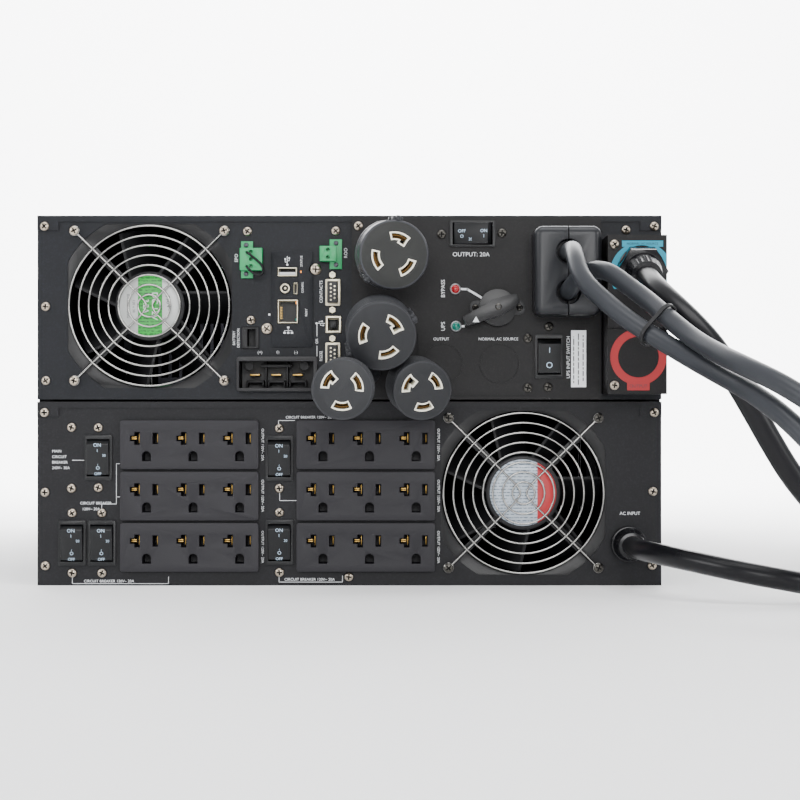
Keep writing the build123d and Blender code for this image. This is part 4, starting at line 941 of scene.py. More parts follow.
def word(text, x, y, z, size, turn=0.0, align="LEFT"):
    # letters standing just proud of a face at y; size is the height of a capital letter
    bpy.ops.object.text_add(location=(0, 0, 0), rotation=(0, 0, 0))
    letters = bpy.context.object
    letters.data.body = text
    letters.data.size = size * mm / printed["capitalShare"]
    letters.data.align_x = align
    letters.data.align_y = "CENTER"
    letters.data.resolution_u = 3
    letters.data.extrude = printed["thickness"] / 2 * mm
    pickOnly(letters)
    bpy.ops.object.convert(target="MESH")
    letters = bpy.context.object
    upright = Matrix.Rotation(math.radians(-turn), 4, "Y") @ Matrix.Rotation(math.pi / 2, 4, "X")
    letters.data.transform(Matrix.Translation((x * mm, (y - printed["proud"]) * mm, z * mm)) @ upright)
    return letters


def rule(points, y, width=0.35):
    # printed line through corner points (x, z)
    strips = []
    half = width / 2
    front = y - printed["proud"] - printed["thickness"] / 2
    for (x0, z0), (x1, z1) in zip(points, points[1:]):
        low = (min(x0, x1) - half, front, min(z0, z1) - half)
        high = (max(x0, x1) + half, front + printed["thickness"], max(z0, z1) + half)
        strips.append(block(low, high))
    return strips


panelWords = (
    # text, x, z, capital height, turn, face
    ("EPO", -79.3, 229.9, 2.5, 90, "panel"), ("ROO", -2.5, 233.4, 2.5, 90, "panel"),
    ("CONTACTS", -19.8, 206.2, 2.3, 90, "panel"), ("RS232", -19.9, 161.0, 2.2, 90, "panel"),
    ("OR", -22.8, 171.5, 2.0, 90, "panel"), ("BATTERY", -81.0, 173.7, 1.9, 90, "panel"),
    ("DETECTION", -77.9, 173.7, 1.9, 90, "panel"), ("(+)", -62.8, 163.6, 2.2, 0, "panel"),
    ("(|)", -50.2, 163.8, 2.0, 0, "panel"), ("(-)", -37.5, 163.6, 2.2, 0, "panel"),
    ("STATUS", -33.6, 227.6, 1.7, 90, "card"), ("CONFIG", -32.8, 209.1, 1.6, 90, "card"),
    ("RESET", -30.2, 191.6, 1.6, 90, "card"),
    ("OUTPUT: 20A", 85.2, 231.9, 3.3, 0, "housing"), ("BYPASS", 65.7, 208.1, 3.0, 90, "housing"),
    ("UPS", 65.7, 181.7, 3.0, 90, "housing"), ("OUTPUT", 64.3, 172.7, 2.2, 0, "cover"),
    ("NORMAL AC SOURCE", 104.2, 172.7, 2.2, 0, "cover"),
    ("UPS INPUT SWITCH", 153.2, 160.1, 2.6, 90, "housing"),
    ("AC INPUT", 196.9, 50.5, 2.5, 0, "panel"),
    ("CIRCUIT BREAKER 120V~ 20A", -168.8, 3.0, 2.1, 0, "panel"),
    ("CIRCUIT BREAKER", -178.0, 57.7, 2.1, 0, "panel"), ("120V~ 20A", -181.4, 53.6, 2.1, 0, "panel"),
    ("CIRCUIT BREAKER 120V~ 20A", -28.0, 4.2, 2.1, 0, "panel"),
    ("CIRCUIT BREAKER 120V~ 20A", -28.0, 118.0, 2.0, 0, "panel"),
)
mainWords = dict(texts=("MAIN", "CIRCUIT", "BREAKER", "240V~ 30A"), x=-208.8, top=94.2, pitch=3.9, size=2.1)
panelRules = (
    ((-194.4, 87.9), (-186.2, 87.9)),
    ((-161.4, 85.5), (-163.6, 85.5), (-163.6, 57.2), (-173.9, 57.2), (-173.9, 53.9)),
    ((-163.6, 62.2), (-161.4, 62.2)),
    ((-194.5, 5.7), (-194.5, 1.3), (-127.0, 1.3), (-127.0, 6.0)),
    ((-49.4, 6.6), (-49.4, 2.4), (-4.9, 2.4), (-4.9, 6.8)),
    ((-49.8, 112.0), (-49.8, 115.8), (-38.5, 115.8)),
    ((-49.0, 65.2), (-49.0, 59.6), (-37.4, 59.6)),
    ((-22.8, 184.0), (-22.8, 175.0)),
    ((-22.8, 168.0), (-22.8, 161.0)),
)


def forkMark(x, y, z, upright):
    # serial bus symbol: a stem with a ball, two arms and their ends
    stem = rule(((x - 3.2, z), (x + 2.6, z)), y, 0.4)
    arms = rule(((x - 1.4, z), (x - 1.4, z + 1.4), (x + 0.4, z + 1.4)), y, 0.35)
    arms += rule(((x - 0.4, z), (x - 0.4, z - 1.4), (x + 1.2, z - 1.4)), y, 0.35)
    ends = [turned([(0.75, 0.0), (0.75, -0.1)], (x - 3.2, y, z), 16),
            block((x + 0.3, y - 0.1, z + 0.9), (x + 1.3, y, z + 1.9)),
            turned([(0.55, 0.0), (0.55, -0.1)], (x + 1.5, y, z - 1.4), 14)]
    parts = stem + arms + ends
    if upright:
        spot = Matrix.Translation((x * mm, 0, z * mm))
        for part in parts:
            part.data.transform(spot @ Matrix.Rotation(-math.pi / 2, 4, "Y") @ spot.inverted())
    return parts


def netMark(x, y, z):
    # network symbol: three boxes on a line
    line = rule(((x - 2.6, z), (x + 2.6, z)), y, 0.3) + rule(((x, z), (x, z + 1.5)), y, 0.3)
    boxes = []
    for a, b in ((-2.6, -1.6), (0.0, -1.6), (2.6, -1.6), (0.0, 2.2)):
        boxes.append(block((x + a - 0.8, y - 0.1, z + b - 0.6), (x + a + 0.8, y, z + b + 0.6)))
    for a in (-2.6, 0.0, 2.6):
        line += rule(((x + a, z), (x + a, z - 1.2)), y, 0.3)
    return line + boxes


def addPrinting():
    faces = dict(panel=rearY, housing=housingY, card=cardY, cover=panelYOf("wiring_covers", 84.0, 172.7))
    parts = []
    for text, x, z, size, turn, face in panelWords:
        parts.append(word(text, x, faces[face], z, size, turn, "CENTER"))
    for row, text in enumerate(mainWords["texts"]):
        z = mainWords["top"] - row * mainWords["pitch"]
        parts.append(word(text, mainWords["x"], rearY, z, mainWords["size"]))
    for low, high in solidsOf("outlet_strips"):
        z = middleOf(low, high)[1]
        parts.append(word("OUTPUT 120V~ 20A", high[0] + 2.4, rearY, z, 2.0, -90, "CENTER"))
    for points in panelRules:
        parts += rule(points, rearY)
    parts += forkMark(-43.6, cardY, 228.3, upright=True)
    parts += forkMark(-19.9, rearY, 184.0, upright=False)
    parts += netMark(-42.9, cardY, 178.9)
    finishPiece(joined(parts), "panelPrinting", finishes["printWhite"], angle=20)
    print("printing done")


# locking outlets on short necks

lockingOutlets = (
    # face: its middle across, out of the panel and up; turned right and down by degrees; first slot hooked
    dict(name="lockingOutletOne", face=(31.7, 70.0, 227.2), right=7.0, down=4.0, slots=(74, 196, 316),
         radius=23.3, circle=12.6, ribs=0, clips=(84, 222), body="large_locking_outlets"),
    dict(name="lockingOutletTwo", face=(23.3, 85.0, 172.2), right=3.5, down=13.0, slots=(45, 172, 292),
         radius=23.3, circle=12.6, ribs=7, clips=(28, 210), body="large_locking_outlets"),
    dict(name="lockingOutletThree", face=(-1.8, 116.0, 137.2), right=-2.0, down=3.0, slots=(148, 22, 268),
         radius=20.0, circle=11.2, ribs=10, clips=(), body="small_locking_outlets"),
    dict(name="lockingOutletFour", face=(50.4, 75.0, 136.3), right=11.0, down=9.0, slots=(155, 35, 277),
         radius=20.0, circle=11.2, ribs=10, clips=(), body="small_locking_outlets"),
)
outletShape = dict(length=50.0, taper=28.0, slotWidth=3.5, slotArc=48.0, liner=1.05, deep=13.0,
                   rearRadius=11.0, hookReach=3.9, wallY=-320.0)


def arcBlock(radius, width, arc, low, high, angle, steps=12):
    # a curved bar about Y, centred on an angle, made by spinning its section
    bpy.ops.mesh.primitive_plane_add(size=mm, location=(radius * mm, (low + high) / 2 * mm, 0))
    piece = bpy.context.object
    piece.scale = (width, high - low, 1)
    settle(piece)
    piece.data.transform(Matrix.Rotation(math.radians(arc / 2 - angle), 4, "Y"))
    pickOnly(piece)
    editAll()
    bpy.ops.mesh.spin(steps=steps, angle=math.radians(arc), center=(0, 0, 0), axis=(0, 1, 0))
    faceOutwards(merge=0.00001)
    return piece


def hookBlock(inner, outer, width, low, high, angle):
    # the straight end of a hooked slot, along its own radius
    piece = block((inner, low, -width / 2), (outer, high, width / 2))
    piece.data.transform(Matrix.Rotation(math.radians(-angle), 4, "Y"))
    return piece


def slotSolid(outlet, angle, hooked, grow, low, high):
    # a slot's prism, larger by grow all round
    shape = outletShape
    circle = outlet["circle"]
    width = shape["slotWidth"] + 2 * grow
    extra = math.degrees(grow / circle)
    solid = arcBlock(circle, width, shape["slotArc"] + 2 * extra, low, high, angle)
    if hooked:
        end = angle - shape["slotArc"] / 2 + math.degrees(shape["slotWidth"] / 2 / circle)
        inner, outer = circle - shape["hookReach"] - grow, circle + shape["slotWidth"] / 2 + grow - 0.15
        hook = hookBlock(inner, outer, width, low + 0.01, high - 0.01, end)
        carve(solid, hook, "UNION")
    return solid


def outletSteps(outlet):
    radius, length, taper = outlet["radius"], outletShape["length"], outletShape["taper"]
    steps = [(radius - 1.3, 0), (radius - 0.5, 0.25), (radius, 0.9), (radius, 3.2)]
    if outlet["ribs"]:
        pitch = (taper + 8.0 - 3.2) / outlet["ribs"]
        deep = 1.4 if outlet["ribs"] > 8 else 0.8
        depth = 3.2
        for rib in range(outlet["ribs"]):
            lean = max(0.0, (depth + pitch - taper) * 0.3)
            steps += [(radius - deep - lean, depth + 0.3 * pitch), (radius - deep - lean, depth + 0.5 * pitch),
                      (radius - lean, depth + 0.8 * pitch), (radius - lean, depth + pitch)]
            depth += pitch
    else:
        steps += [(radius, 20.5), (radius + 0.5, 21.0), (radius + 0.5, taper), (radius - 0.6, taper + 1.5)]
    steps += [(radius - 5.0, length - 8), (radius - 7.2, length - 4), (outletShape["rearRadius"], length),
              (4.0, length)]
    return steps


def addLockingOutlets():
    deep, arc = outletShape["deep"], outletShape["slotArc"]
    for outlet in lockingOutlets:
        x, forward, z = outlet["face"]
        lean = (Matrix.Translation((x * mm, (outletShape["wallY"] - forward) * mm, z * mm))
                @ Matrix.Rotation(math.radians(outlet["right"]), 4, "Z")
                @ Matrix.Rotation(math.radians(outlet["down"]), 4, "X"))
        shell = turned(outletSteps(outlet), (0, 0, 0), 72)
        liners = []
        contacts = []
        for number, angle in enumerate(outlet["slots"]):
            hooked = number == 0
            carve(shell, slotSolid(outlet, angle, hooked, outletShape["liner"] - 0.1, -1.0, deep))
            liner = slotSolid(outlet, angle, hooked, outletShape["liner"], -0.3, deep - 3)
            carve(liner, slotSolid(outlet, angle, hooked, 0, -2.0, deep))
            liners.append(soften(liner, 0.22, 2, 50))
            contacts.append(arcBlock(outlet["circle"] + 0.5, 1.0, arc - 4, 3.2, deep - 0.5, angle))
            contacts.append(arcBlock(outlet["circle"] - 0.9, 0.5, arc - 8, 5.5, deep - 0.5, angle))
        clips = []
        for angle in outlet["clips"]:
            radius = outlet["radius"]
            clip = block((-3.4, 1.5, radius - 1.0), (3.4, 15.0, radius + 2.4), 1.0, 3)
            hinge = block((-4.6, 15.0, radius - 1.0), (4.6, 21.0, radius + 1.7), 0.8, 3)
            catch = block((-1.3, -0.3, radius - 0.4), (1.3, 4.0, radius + 3.1), 0.5, 2)
            clip = joined([clip, hinge, catch])
            clip.data.transform(Matrix.Rotation(math.radians(90 - angle), 4, "Y"))
            clips.append(clip)
        for piece in [shell] + liners + contacts + clips:
            piece.data.transform(lean)
        # the sides take a lighter grey than the face of the same plastic: painted sheen
        face = finishes["ribbedGrey"] if outlet["ribs"] else finishes["smoothGreySheen"]
        finishPiece(shell, outlet["name"], face, angle=40, replaces=(outlet["body"],))
        shell.data.materials.append(finishes["outletFace"] if outlet["ribs"] else finishes["oliveFace"])
        out = lean.to_3x3() @ Vector((0, -1, 0))
        for part in shell.data.polygons:
            if part.normal.dot(out) > 0.97:
                part.material_index = 1
        finishPiece(joined(liners), outlet["name"] + "Liners", finishes["creamPlastic"], angle=35)
        finishPiece(joined(contacts), outlet["name"] + "Contacts", finishes["darkBrass"])
        if clips:
            finishPiece(joined(clips), outlet["name"] + "Clips", finishes["ribbedGrey"])
    print("locking outlets made")


# rockers

breakerMarks = (
    # text, across, up, capital height
    ("ON", 0.1, 8.9, 2.7), ("I", 0.0, 5.1, 2.4), ("(", 0.1, -4.9, 1.5), ("O", 0.1, -7.2, 2.6),
    ("OFF", 0.0, -11.3, 2.2),
)
breakerRatings = ("30", "20", "20", "20", "20")
outputMarks = (
    ("OFF", -7.6, 1.5, 2.4), ("O", -7.6, -2.2, 2.4), ("ON", 7.6, 1.5, 2.4), ("I", 7.6, -2.2, 2.4),
    ("20", -1.6, -4.2, 2.0),
)
inputMarks = (("I", 0.0, 4.2, 4.0), ("O", 0.0, -6.2, 4.6))


def facePlane(nodeName, test):
    # area-weighted middle and normal of a CAD node's rear faces whose middles pass the test
    mesh = nodes[nodeName].data
    middle = Vector((0, 0, 0))
    normal = Vector((0, 0, 0))
    total = 0.0
    for face in mesh.polygons:
        if face.normal.y < -0.8 and face.area > 1e-6 and test(face.center / mm):
            middle += face.center * face.area
            normal += face.normal * face.area
            total += face.area
    return middle / total / mm, normal.normalized()


def laidOn(letters, plane):
    # letters or marks drawn at their own depth are moved along Y onto a tilted face
    point, normal = plane
    for vertex in letters.data.vertices:
        x, y, z = vertex.co / mm
        depth = point.y - ((x - point.x) * normal.x + (z - point.z) * normal.z) / normal.y
        vertex.co.y = (y + depth) * mm
    return letters


def makeRocker(node, name, marksName, body, marks, axis):
    # a rocker with words on its two tilted halves, which lie apart along the axis
    x, z = centreOf(node)
    middle = (x, 0, z)[axis]
    planes = {
        -1: facePlane(node, lambda spot: spot[axis] < middle - 2),
        1: facePlane(node, lambda spot: spot[axis] > middle + 2),
    }
    refined(node, name, finishes["rockerBlack"], 0.35, body=body)
    parts = []
    for text, across, up, size in marks:
        half = 1 if (across, 0, up)[axis] > 0 else -1
        parts.append(laidOn(word(text, x + across, 0.0, z + up, size, 0.0, "CENTER"), planes[half]))
    finishPiece(joined(parts), marksName, finishes["printPale"], body)


def addRockers():
    for number, rating in enumerate(breakerRatings, 1):
        marks = breakerMarks + ((rating, 4.5, 1.6, 2.0),)
        makeRocker("breaker_rocker_%d" % number, "breakerRocker%d" % number, "breakerMarks%d" % number,
                   "breaker_%d" % number, marks, 2)
    makeRocker("output_breaker_rocker", "outputRocker", "outputRockerMarks", "output_breaker", outputMarks, 0)
    makeRocker("input_switch_rocker", "inputRocker", "inputRockerMarks", "input_switch", inputMarks, 2)
    print("rockers marked")


# bypass selector and lamps


selector = dict(
    pivot=(103.6, 194.7), pointerAngle=211, pointerReach=19.0, tip=1.8, tail=2.2, halfWidth=2.3,
    screwRadius=2.6, line=((77.9, 207.8), (82.6, 207.6), (92.2, 201.9)), dash=((78.0, 80.6), (181.0, 182.5)),
)


def makePointer(front):
    # white triangle near the end of the knob's handle
    reach = math.radians(selector["pointerAngle"])
    ahead = Vector((math.cos(reach), math.sin(reach)))
    side = Vector((-ahead.y, ahead.x)) * selector["halfWidth"]
    near = Vector(selector["pivot"]) + ahead * selector["pointerReach"]
    back = near - ahead * selector["tail"]
    corners = [near + ahead * selector["tip"], back + side, back - side]
    bpy.ops.mesh.primitive_circle_add(vertices=3, radius=mm, fill_type="NGON", rotation=(math.pi / 2, 0, 0))
    pointer = settle(bpy.context.object)
    for vertex, corner in zip(pointer.data.vertices, corners):
        vertex.co = Vector((corner.x, front - 0.06, corner.y)) * mm
    pickOnly(pointer)
    editAll()
    bpy.ops.mesh.extrude_region_move(TRANSFORM_OT_translate={"value": (0, 0.12 * mm, 0)})
    faceOutwards()
    return pointer


def addLamps():
    rims = []
    lamps = sorted(solidsOf("indicator_lamps"), key=lambda box: -box[0][2])
    for (low, high), colour in zip(lamps, ("red", "green")):
        x, z = middleOf(low, high)
        radius = (high[0] - low[0]) / 2
        place = (x, housingY, z)
        rims.append(turned([(radius + 0.1, 0.2), (radius + 0.1, -0.7), (radius - 0.3, -1.1),
                            (radius - 0.8, -0.9), (radius - 0.9, -0.2)], place, 40))
        lens = turned([(radius - 0.85, 0.1), (radius - 0.85, -0.9), (radius - 1.2, -1.7), (radius - 1.9, -2.3),
                       (radius - 2.8, -2.65), (0.3, -2.75)], place, 40)
        finishPiece(lens, colour + "Lamp", finishes[colour + "Lens"], angle=60, replaces=("indicator_lamps",))
    finishPiece(joined(rims), "lampRims", finishes["castAluminium"], angle=50)


def addSelector():
    refined("bypass_switch", "bypassDisc", finishes["satinBlack"], 0.3)
    refined("bypass_knob", "bypassKnob", finishes["knobBlack"], 0.5, 3, body="bypass_selector")
    front = rearOf("bypass_knob")
    x, z = selector["pivot"]
    finishPiece(makePointer(front), "knobPointer", finishes["printWhite"], "bypass_selector")
    screw = makeScrewHead(selector["screwRadius"])
    screw.data.transform(Matrix.Translation((x * mm, (front + 1.2) * mm, z * mm)))
    finishPiece(screw, "knobScrew", finishes["blackScrew"], "bypass_selector", 40)
    addLamps()
    lines = []
    for (x0, z0), (x1, z1) in zip(selector["line"], selector["line"][1:]):
        bar = block((-0.5, -0.05, -0.75), (math.hypot(x1 - x0, z1 - z0) + 0.5, 0.05, 0.75))
        bar.data.transform(Matrix.Translation((x0 * mm, (housingY - 0.06) * mm, z0 * mm))
                           @ Matrix.Rotation(-math.atan2(z1 - z0, x1 - x0), 4, "Y"))
        lines.append(bar)
    (x0, x1), (z0, z1) = selector["dash"]
    lines.append(block((x0, housingY - 0.11, z0), (x1, housingY - 0.01, z1)))
    finishPiece(joined(lines), "bypassLine", finishes["printWhite"])
    print("selector and lamps done")


# ports


ports = dict(
    tongue=((-49.2, 218.0), (-37.8, 219.9)), tongueContacts=(-47.5, 2.6, 4),        # start, pitch, number
    networkContacts=(187.6, 1.1, 8), printerBlock=((-13.5, 180.7), (-9.0, 185.7)), roundSocket=(-45.1, 208.6),
    shadedOpenings=(
        # x and z limits of the dark sheets that close the openings, painted shade for their insides: host
        # socket, network socket, small socket, printer socket
        (-49.2, -37.8, 220.2, 222.5), (-49.2, -37.0, 185.0, 199.6), (-38.5, -36.9, 205.4, 211.8),
        (-15.0, -7.5, 179.4, 187.0),
    ),
    serialHeights=(205.7, 161.1), serialLimits=(-15.5, -7.8), serialHalf=7.9, holes=9, firstHole=(-12.9, -5.5),
    holePitch=(2.7, 2.75), rowShift=1.37, postX=-11.9, postHeights=(218.0, 193.3, 173.3),
    lights=(
        # x, z, lens, width, height, face, how far the face lies in front of the panel
        (-36.9, 198.6, "amberLens", 1.3, 2.2, "panel", 1.2),
        (-37.1, 186.6, "greenLens", 1.3, 2.0, "panel", 1.2),
        (-34.0, 220.1, "amberLens", 0.9, 1.5, "card", 0.0),
        (-56.2, 190.2, "whiteLens", 1.3, 1.3, "panel", 0.0),
    ),
)


def serialInsert(z):
    # black insert with five holes in one column and four in the next
    left, right = ports["serialLimits"]
    half = ports["serialHalf"]
    insert = block((left, rearY - 6.35, z - half), (right, rearY - 4.5, z + half), 2.0, 4)
    x0, z0 = ports["firstHole"]
    across, up = ports["holePitch"]
    for number in range(ports["holes"]):
        column, row = (0, number) if number < 5 else (1, number - 5)
        place = (x0 + across * column, rearY, z + z0 + up * row + ports["rowShift"] * column)
        carve(insert, turned([(0.65, -8.0), (0.65, -5.0)], place, 12))
    return insert


def addPorts():
    refined("data_ports", "portShells", finishes["tinPlate"], 0.18, 2)
    dark, metal, gold = [], [], []
    # host socket: pale tongue in the lower half, contacts above it
    (x0, z0), (x1, z1) = ports["tongue"]
    tongue = block((x0, rearY - 1.3, z0), (x1, rearY + 9, z1), 0.2)
    start, pitch, count = ports["tongueContacts"]
    for number in range(count):
        x = start + number * pitch
        gold.append(block((x - 0.5, rearY - 0.1, z1 - 0.2), (x + 0.5, rearY + 7, z1 + 0.05)))
    # network socket: contacts
    start, pitch, count = ports["networkContacts"]
    for number in range(count):
        z = start + number * pitch
        gold.append(block((-48.8, rearY + 2.5, z - 0.2), (-47.2, rearY + 2.8, z + 0.2)))
    # dark sheets just behind the shells' front rims: painted shade for the insides of the openings
    for x0, x1, z0, z1 in ports["shadedOpenings"]:
        front = panelYOf("data_ports", x0 + 0.2, z0 + 0.2)
        dark.append(block((x0, front - 0.12, z0), (x1, front + 0.3, z1), 0.1, 1))
    # square printer socket: block in the middle
    (x0, z0), (x1, z1) = ports["printerBlock"]
    dark.append(block((x0, rearY - 0.6, z0), (x1, rearY + 8, z1), 0.5))
    # round socket: ring, pin and floor
    x, z = ports["roundSocket"]
    place = (x, cardY, z)
    ring = [(3.4, 0.3), (3.4, -0.5), (3.1, -0.75), (2.5, -0.6), (2.3, 0.2), (2.3, 3.0)]
    dark.append(turned(ring, place, 36))
    metal.append(turned([(0.9, 2.0), (0.9, -0.1), (0.6, -0.4), (0.1, -0.45)], place, 16))
    dark.append(turned([(2.35, 0.25), (1.9, 0.1), (0.9, 0.05)], place, 24))
    # serial sockets: inserts and hexagonal posts
    for z in ports["serialHeights"]:
        dark.append(serialInsert(z))
    for z in ports["postHeights"]:
        steps = [(2.55, 0.1), (2.55, -2.6), (2.2, -3.0), (1.35, -3.0), (1.15, -2.8), (1.05, -0.6), (0.3, -0.6)]
        metal.append(turned(steps, (ports["postX"], rearY, z), 6))
    finishPiece(tongue, "portTongues", finishes["palePlastic"])
    finishPiece(joined(dark), "portInserts", finishes["satinBlack"])
    finishPiece(joined(gold), "portContacts", finishes["brass"])
    finishPiece(joined(metal), "portPosts", finishes["tinPlate"], angle=30)
    for number, (x, z, lens, width, height, face, ahead) in enumerate(ports["lights"], 1):
        front = (cardY if face == "card" else rearY) - ahead
        low = (x - width / 2, front - 0.35, z - height / 2)
        high = (x + width / 2, front + 1.2, z + height / 2)
        finishPiece(block(low, high, 0.25, 3), "statusLight%d" % number, finishes[lens])
    print("ports fitted")


# screw terminals and the jumper


terminals = dict(
    screws=((-72.3, 238.7), (-72.3, 218.5), (-9.3, 240.1), (-9.3, 224.9)),
    clamps=((-71.6, 233.5), (-71.6, 228.6), (-71.6, 223.6), (-10.3, 235.1), (-10.3, 229.7)),
    jumperRadius=0.9,
    jumper=(
        # x, out of the plug, z
        (-71.6, 3, 233.5), (-71.6, -2.5, 233.4), (-69.5, -5, 231.8), (-64, -6, 227.5), (-60, -5.5, 223.5),
        (-59.2, -5, 218.5), (-62.5, -4.5, 216.2), (-67, -4.5, 218.5), (-70.8, -3, 222.5), (-71.6, -1, 223.6),
        (-71.6, 3, 223.6),
    ),
)


def addTerminals():
    refined("terminal_plugs", "terminalPlugs", finishes["terminalGreen"], 0.25)
    plugY = rearOf("terminal_plugs")
    screws, copper = [], []
    for x, z in terminals["screws"]:
        front = panelYOf("terminal_plugs", x, z)
        head = turned([(1.75, 0.0), (1.75, -0.25), (1.5, -0.45), (0.2, -0.45)], (x, front, z), 24)
        screws.append(carve(head, block((x - 2, -340, z - 0.22), (x + 2, front - 0.15, z + 0.22))))
    for x, z in terminals["clamps"]:
        copper.append(block((x - 1.1, plugY + 2.2, z - 1.0), (x + 1.1, plugY + 3.0, z + 1.0), 0.2))
    finishPiece(joined(screws), "terminalScrews", finishes["darkSteel"], angle=40)
    finishPiece(joined(copper), "terminalClamps", finishes["copper"])
    wire = wireAlong([(x, plugY + out, z) for x, out, z in terminals["jumper"]], terminals["jumperRadius"])
    finishPiece(wire, "terminalJumper", finishes["blackJacket"], angle=60, replaces=("epo_jumper",))
    print("terminals fitted")


# battery connector


battery = dict(
    depth=7, guides=(-66.6, -51.6, -36.5), walls=(-59.1, -44.1), posts=(-70.5, -32.0), postHeight=154.2,
    bridge=((-62.0, 153.2), (-41.0, 155.4)), bladeHalf=0.65,
)


def addBatteryConnector():
    refined("battery_connector", "batteryConnector", finishes["satinBlack"], 0.7, 3)
    refined("battery_sense_socket", "senseSocket", finishes["softBlack"], 0.25)
    back = frontOf("battery_connector") - battery["depth"]
    ribs = []
    for x in battery["guides"]:
        ribs.append(block((x - 6.2, back - 11, 142.2), (x + 6.2, back - 1, 144.2), 0.4))
        ribs.append(block((x - 6.2, back - 11, 139.5), (x - 5.0, back - 1, 144.2), 0.3))
        ribs.append(block((x + 5.0, back - 11, 139.5), (x + 6.2, back - 1, 144.2), 0.3))
    for x in battery["walls"]:
        ribs.append(block((x - 0.7, back - 10, 139.2), (x + 0.7, back - 1, 157.0), 0.3))
    for x in battery["posts"]:
        steps = [(3.2, -12.0), (3.0, -12.4), (2.0, -12.4), (1.9, -4.0), (0.3, -4.0)]
        ribs.append(turned(steps, (x, back, battery["postHeight"]), 28))
    (x0, z0), (x1, z1) = battery["bridge"]
    ribs.append(block((x0, back - 12, z0), (x1, back - 1, z1), 0.4))
    finishPiece(joined(ribs), "batteryConnectorRibs", finishes["softBlack"])
    blades = []
    for low, high in solidsOf("battery_contacts"):
        middle = (low[2] + high[2]) / 2
        half = battery["bladeHalf"]
        blades.append(block((low[0], low[1], middle - half), (high[0], high[1], middle + half), 0.3, 3))
    finishPiece(joined(blades), "batteryBlades", finishes["brass"], replaces=("battery_contacts",))
    print("battery connector done")


# clamp, terminal box and glands


def flatRing(outer, inner, place, thickness=0.12, sides=72):
    steps = [(inner, 0), (outer, 0), (outer, -thickness), (inner, -thickness)]
    bpy.ops.mesh.primitive_circle_add(vertices=sides, radius=inner * mm, rotation=(math.pi / 2, 0, 0),
                                      location=[part * mm for part in place])
    ring = settle(bpy.context.object)
    middle = Vector(place) * mm
    editAll()
    radius, depth = inner, 0.0
    for newRadius, newDepth in steps[1:] + [steps[0]]:
        bpy.ops.mesh.extrude_edges_move(TRANSFORM_OT_translate={"value": (0, (newDepth - depth) * mm, 0)})
        scale = newRadius / radius
        bpy.ops.transform.resize(value=(scale, 1, scale), center_override=middle)
        radius, depth = newRadius, newDepth
    faceOutwards(merge=0.000005)
    return ring


fittings = dict(
    cyanRing=(200.2, 216.5), cyanRadii=(21.5, 17.4), cyanTag=((186.9, 234.7), (214.9, 238.9)),
    cyanCuts=(((217.4, 190.0), (230.0, 240.0)), ((170.0, 180.0), (230.0, 206.0))),
    redRing=(198.1, 159.5), redRadii=(19.2, 13.9), redTag=((190.4, 136.8), (205.7, 144.6)),
    tagWords=(("NORMAL AC SOURCE", 200.9, 236.8, 1.7), ("OUTPUT", 198.1, 139.6, 2.4)),
    seamHeights=(232.2, 179.1), seamLimits=(177.4, 217.5), seamSides=(181.0, 214.8), sideLimits=(134.6, 242.5),
    knockoutRadii=(14.2, 13.9),
)


def ringAndTag(colour, front):
    # a flat coloured ring round an opening, and its tag
    x, z = fittings[colour + "Ring"]
    (x0, z0), (x1, z1) = fittings[colour + "Tag"]
    ring = flatRing(*fittings[colour + "Radii"], (x, front - 0.06, z))
    return [ring, block((x0, front - 0.16, z0), (x1, front - 0.04, z1))]


def addCordFittings():
    refined("cord_clamp", "cordClamp", finishes["clampGrey"], 0.5, 3)
    refined("terminal_box", "terminalBox", finishes["housingSheet"], 0.5)
    refined("ac_gland", "acGland", finishes["glandBlack"], 0.3)
    refined("input_gland", "inputGland", finishes["glandBlack"], 0.35)
    front = panelYOf("wiring_covers", 198.0, 150.0)
    cyan = ringAndTag("cyan", front)
    for (x0, z0), (x1, z1) in fittings["cyanCuts"]:
        carve(cyan[0], block((x0, front - 5, z0), (x1, front + 5, z1)))
    finishPiece(joined(cyan), "cyanLabel", finishes["cyanPlastic"])
    finishPiece(joined(ringAndTag("red", front)), "redLabel", finishes["redPlastic"])
    words = [word(text, x, front - 0.18, z, size, 0, "CENTER") for text, x, z, size in fittings["tagWords"]]
    finishPiece(joined(words), "boxLabels", finishes["printDark"])
    seams = []
    x0, x1 = fittings["seamLimits"]
    for z in fittings["seamHeights"]:
        seams.append(block((x0, front - 0.05, z - 0.15), (x1, front + 0.02, z + 0.15)))
    z0, z1 = fittings["sideLimits"]
    for x in fittings["seamSides"]:
        seams.append(block((x - 0.15, front - 0.05, z0), (x + 0.15, front + 0.02, z1)))
    x, z = fittings["redRing"]
    seams.append(flatRing(*fittings["knockoutRadii"], (x, front - 0.02, z), 0.04))
    finishPiece(joined(seams), "boxSeams", finishes["seamBlack"])
    print("cord fittings done")


# sticker


sticker = dict(
    sheet=((155.1, 139.2), (165.6, 178.9)), firstRow=156.9, pitch=3.3, half=0.35, space=0.9,
    rows=((142.0, 174.5), (140.8, 177.0), (143.5, 175.5)),
)


def addSticker():
    (x0, z0), (x1, z1) = sticker["sheet"]
    sheet = block((x0, housingY - 0.12, z0), (x1, housingY - 0.01, z1))
    finishPiece(sheet, "whiteSticker", finishes["stickerWhite"])
    half = sticker["half"]
    dashes = []
    for number, (z, end) in enumerate(sticker["rows"]):
        x = sticker["firstRow"] + number * sticker["pitch"]
        count = 0
        while z < end:
            length = 1.6 + (count * 7 + number * 3) % 5 * 0.75        # uneven, like lines of small print
            top = min(z + length, end)
            dashes.append(block((x - half, housingY - 0.18, z), (x + half, housingY - 0.12, top)))
            z += length + sticker["space"]
            count += 1
    finishPiece(joined(dashes), "stickerRows", finishes["printDark"])
    print("sticker laid")


# outlet strips


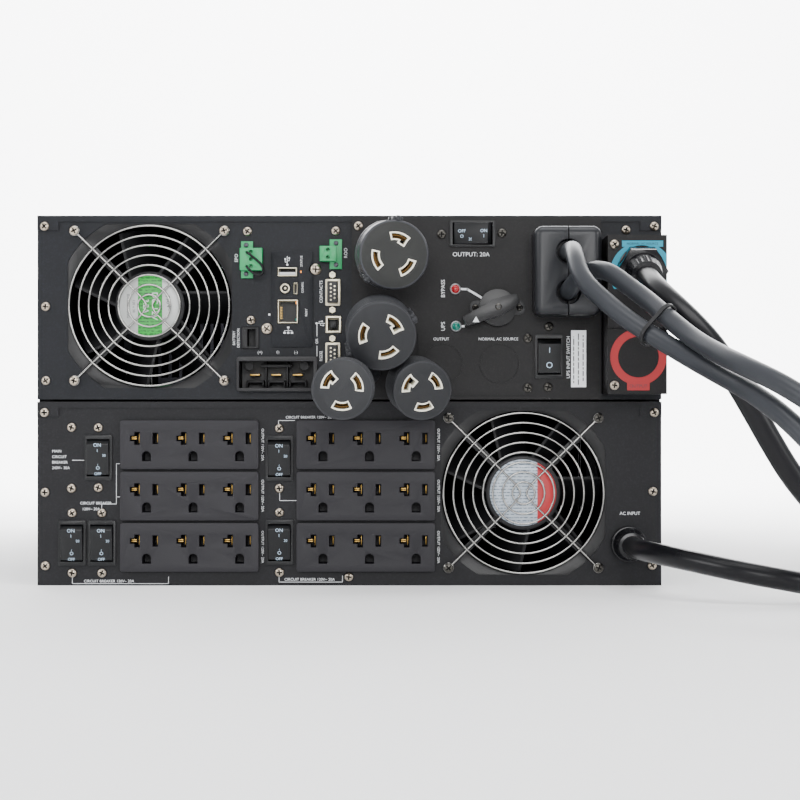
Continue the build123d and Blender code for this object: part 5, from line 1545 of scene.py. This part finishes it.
strip = dict(
    outlets=3, first=18.6, pitch=32.6, rise=21.5,
    contacts=(
        # x, depth and z limits about an outlet's middle, edge
        ((-10.6, -6.9), (1.6, 7), (0.45, 1.3), 0.25), ((-10.6, -6.9), (1.6, 7), (-0.75, 0.1), 0.25),
        ((-6.2, -5.5), (6.5, 9), (-3.4, 3.4), 0.2), ((6.6, 7.3), (6.5, 9), (-3.0, 3.0), 0.2),
    ),
)


def addStrips():
    refined("outlet_strips", "outletStrips", finishes["stripPlastic"], 0.35)
    brass = []
    for low, high in solidsOf("outlet_strips"):
        z = low[2] + strip["rise"]
        for number in range(strip["outlets"]):
            x = low[0] + strip["first"] + number * strip["pitch"]
            for (x0, x1), (y0, y1), (z0, z1), edge in strip["contacts"]:
                brass.append(block((x + x0, low[1] + y0, z + z0), (x + x1, low[1] + y1, z + z1), edge))
    finishPiece(joined(brass), "outletContacts", finishes["brass"])
    refined("switch_bodies", "switchBodies", finishes["rockerBlack"], 0.3)
    print("outlet strips fitted")


# front panels and housings

display = dict(
    half=40.0, tall=23.0, edge=8.0, proud=1.3,
    # text, up, capital height
    rows=(("ONLINE", 6.0, 4.4), ("LOAD 24%", -2.2, 3.2), ("BATTERY 100%", -8.6, 3.2)),
)


def frontWord(text, x, y, z, size):
    # a word that reads from the front: made for the rear, then turned half round
    letters = word(text, -x, -y, z, size, 0, "CENTER")
    letters.data.transform(Matrix.Rotation(math.pi, 4, "Z"))
    return letters


def addFront():
    face = frontOf("upper_bezel")
    x, z = centreOf("display_screen")

    def panel(inset, low, high, edge=0.0):
        # a box about the display's middle, smaller than its frame by the inset
        half, tall = display["half"] - inset, display["tall"] - inset
        return block((x - half, face + low, z - tall), (x + half, face + high, z + tall), edge)

    surround = panel(0, -0.1, display["proud"])
    carve(surround, panel(display["edge"], -2, 3))
    finishPiece(soften(surround, 0.6, 3, 40), "displayFrame", finishes["glossBlack"])
    finishPiece(panel(display["edge"] - 1, 0.1, 0.6, 0.1), "displayGlass", finishes["smokedGlass"])
    words = [frontWord(text, x, face + 0.6, z + rise, size) for text, rise, size in display["rows"]]
    finishPiece(joined(words), "displayWords", finishes["screenGlow"])
    for node in ("power_button", "menu_button"):
        refined(node, node.replace("_b", "B"), finishes["palePlastic"], 0.4, 3, body=node)
    refined("rack_ears", "rackEars", finishes["lowerSheet"], 0.3)
    refined("card_faceplate", "cardFaceplate", finishes["upperSheet"], 0.3)
    print("front done")


coatNodes()
addCamera()
addCords()
addStudio()
addScrews()
addFans()
addShadeSheets()
addPrinting()
addLockingOutlets()
addRockers()
addSelector()
addPorts()
addTerminals()
addBatteryConnector()
addCordFittings()
addSticker()
addStrips()
addFront()
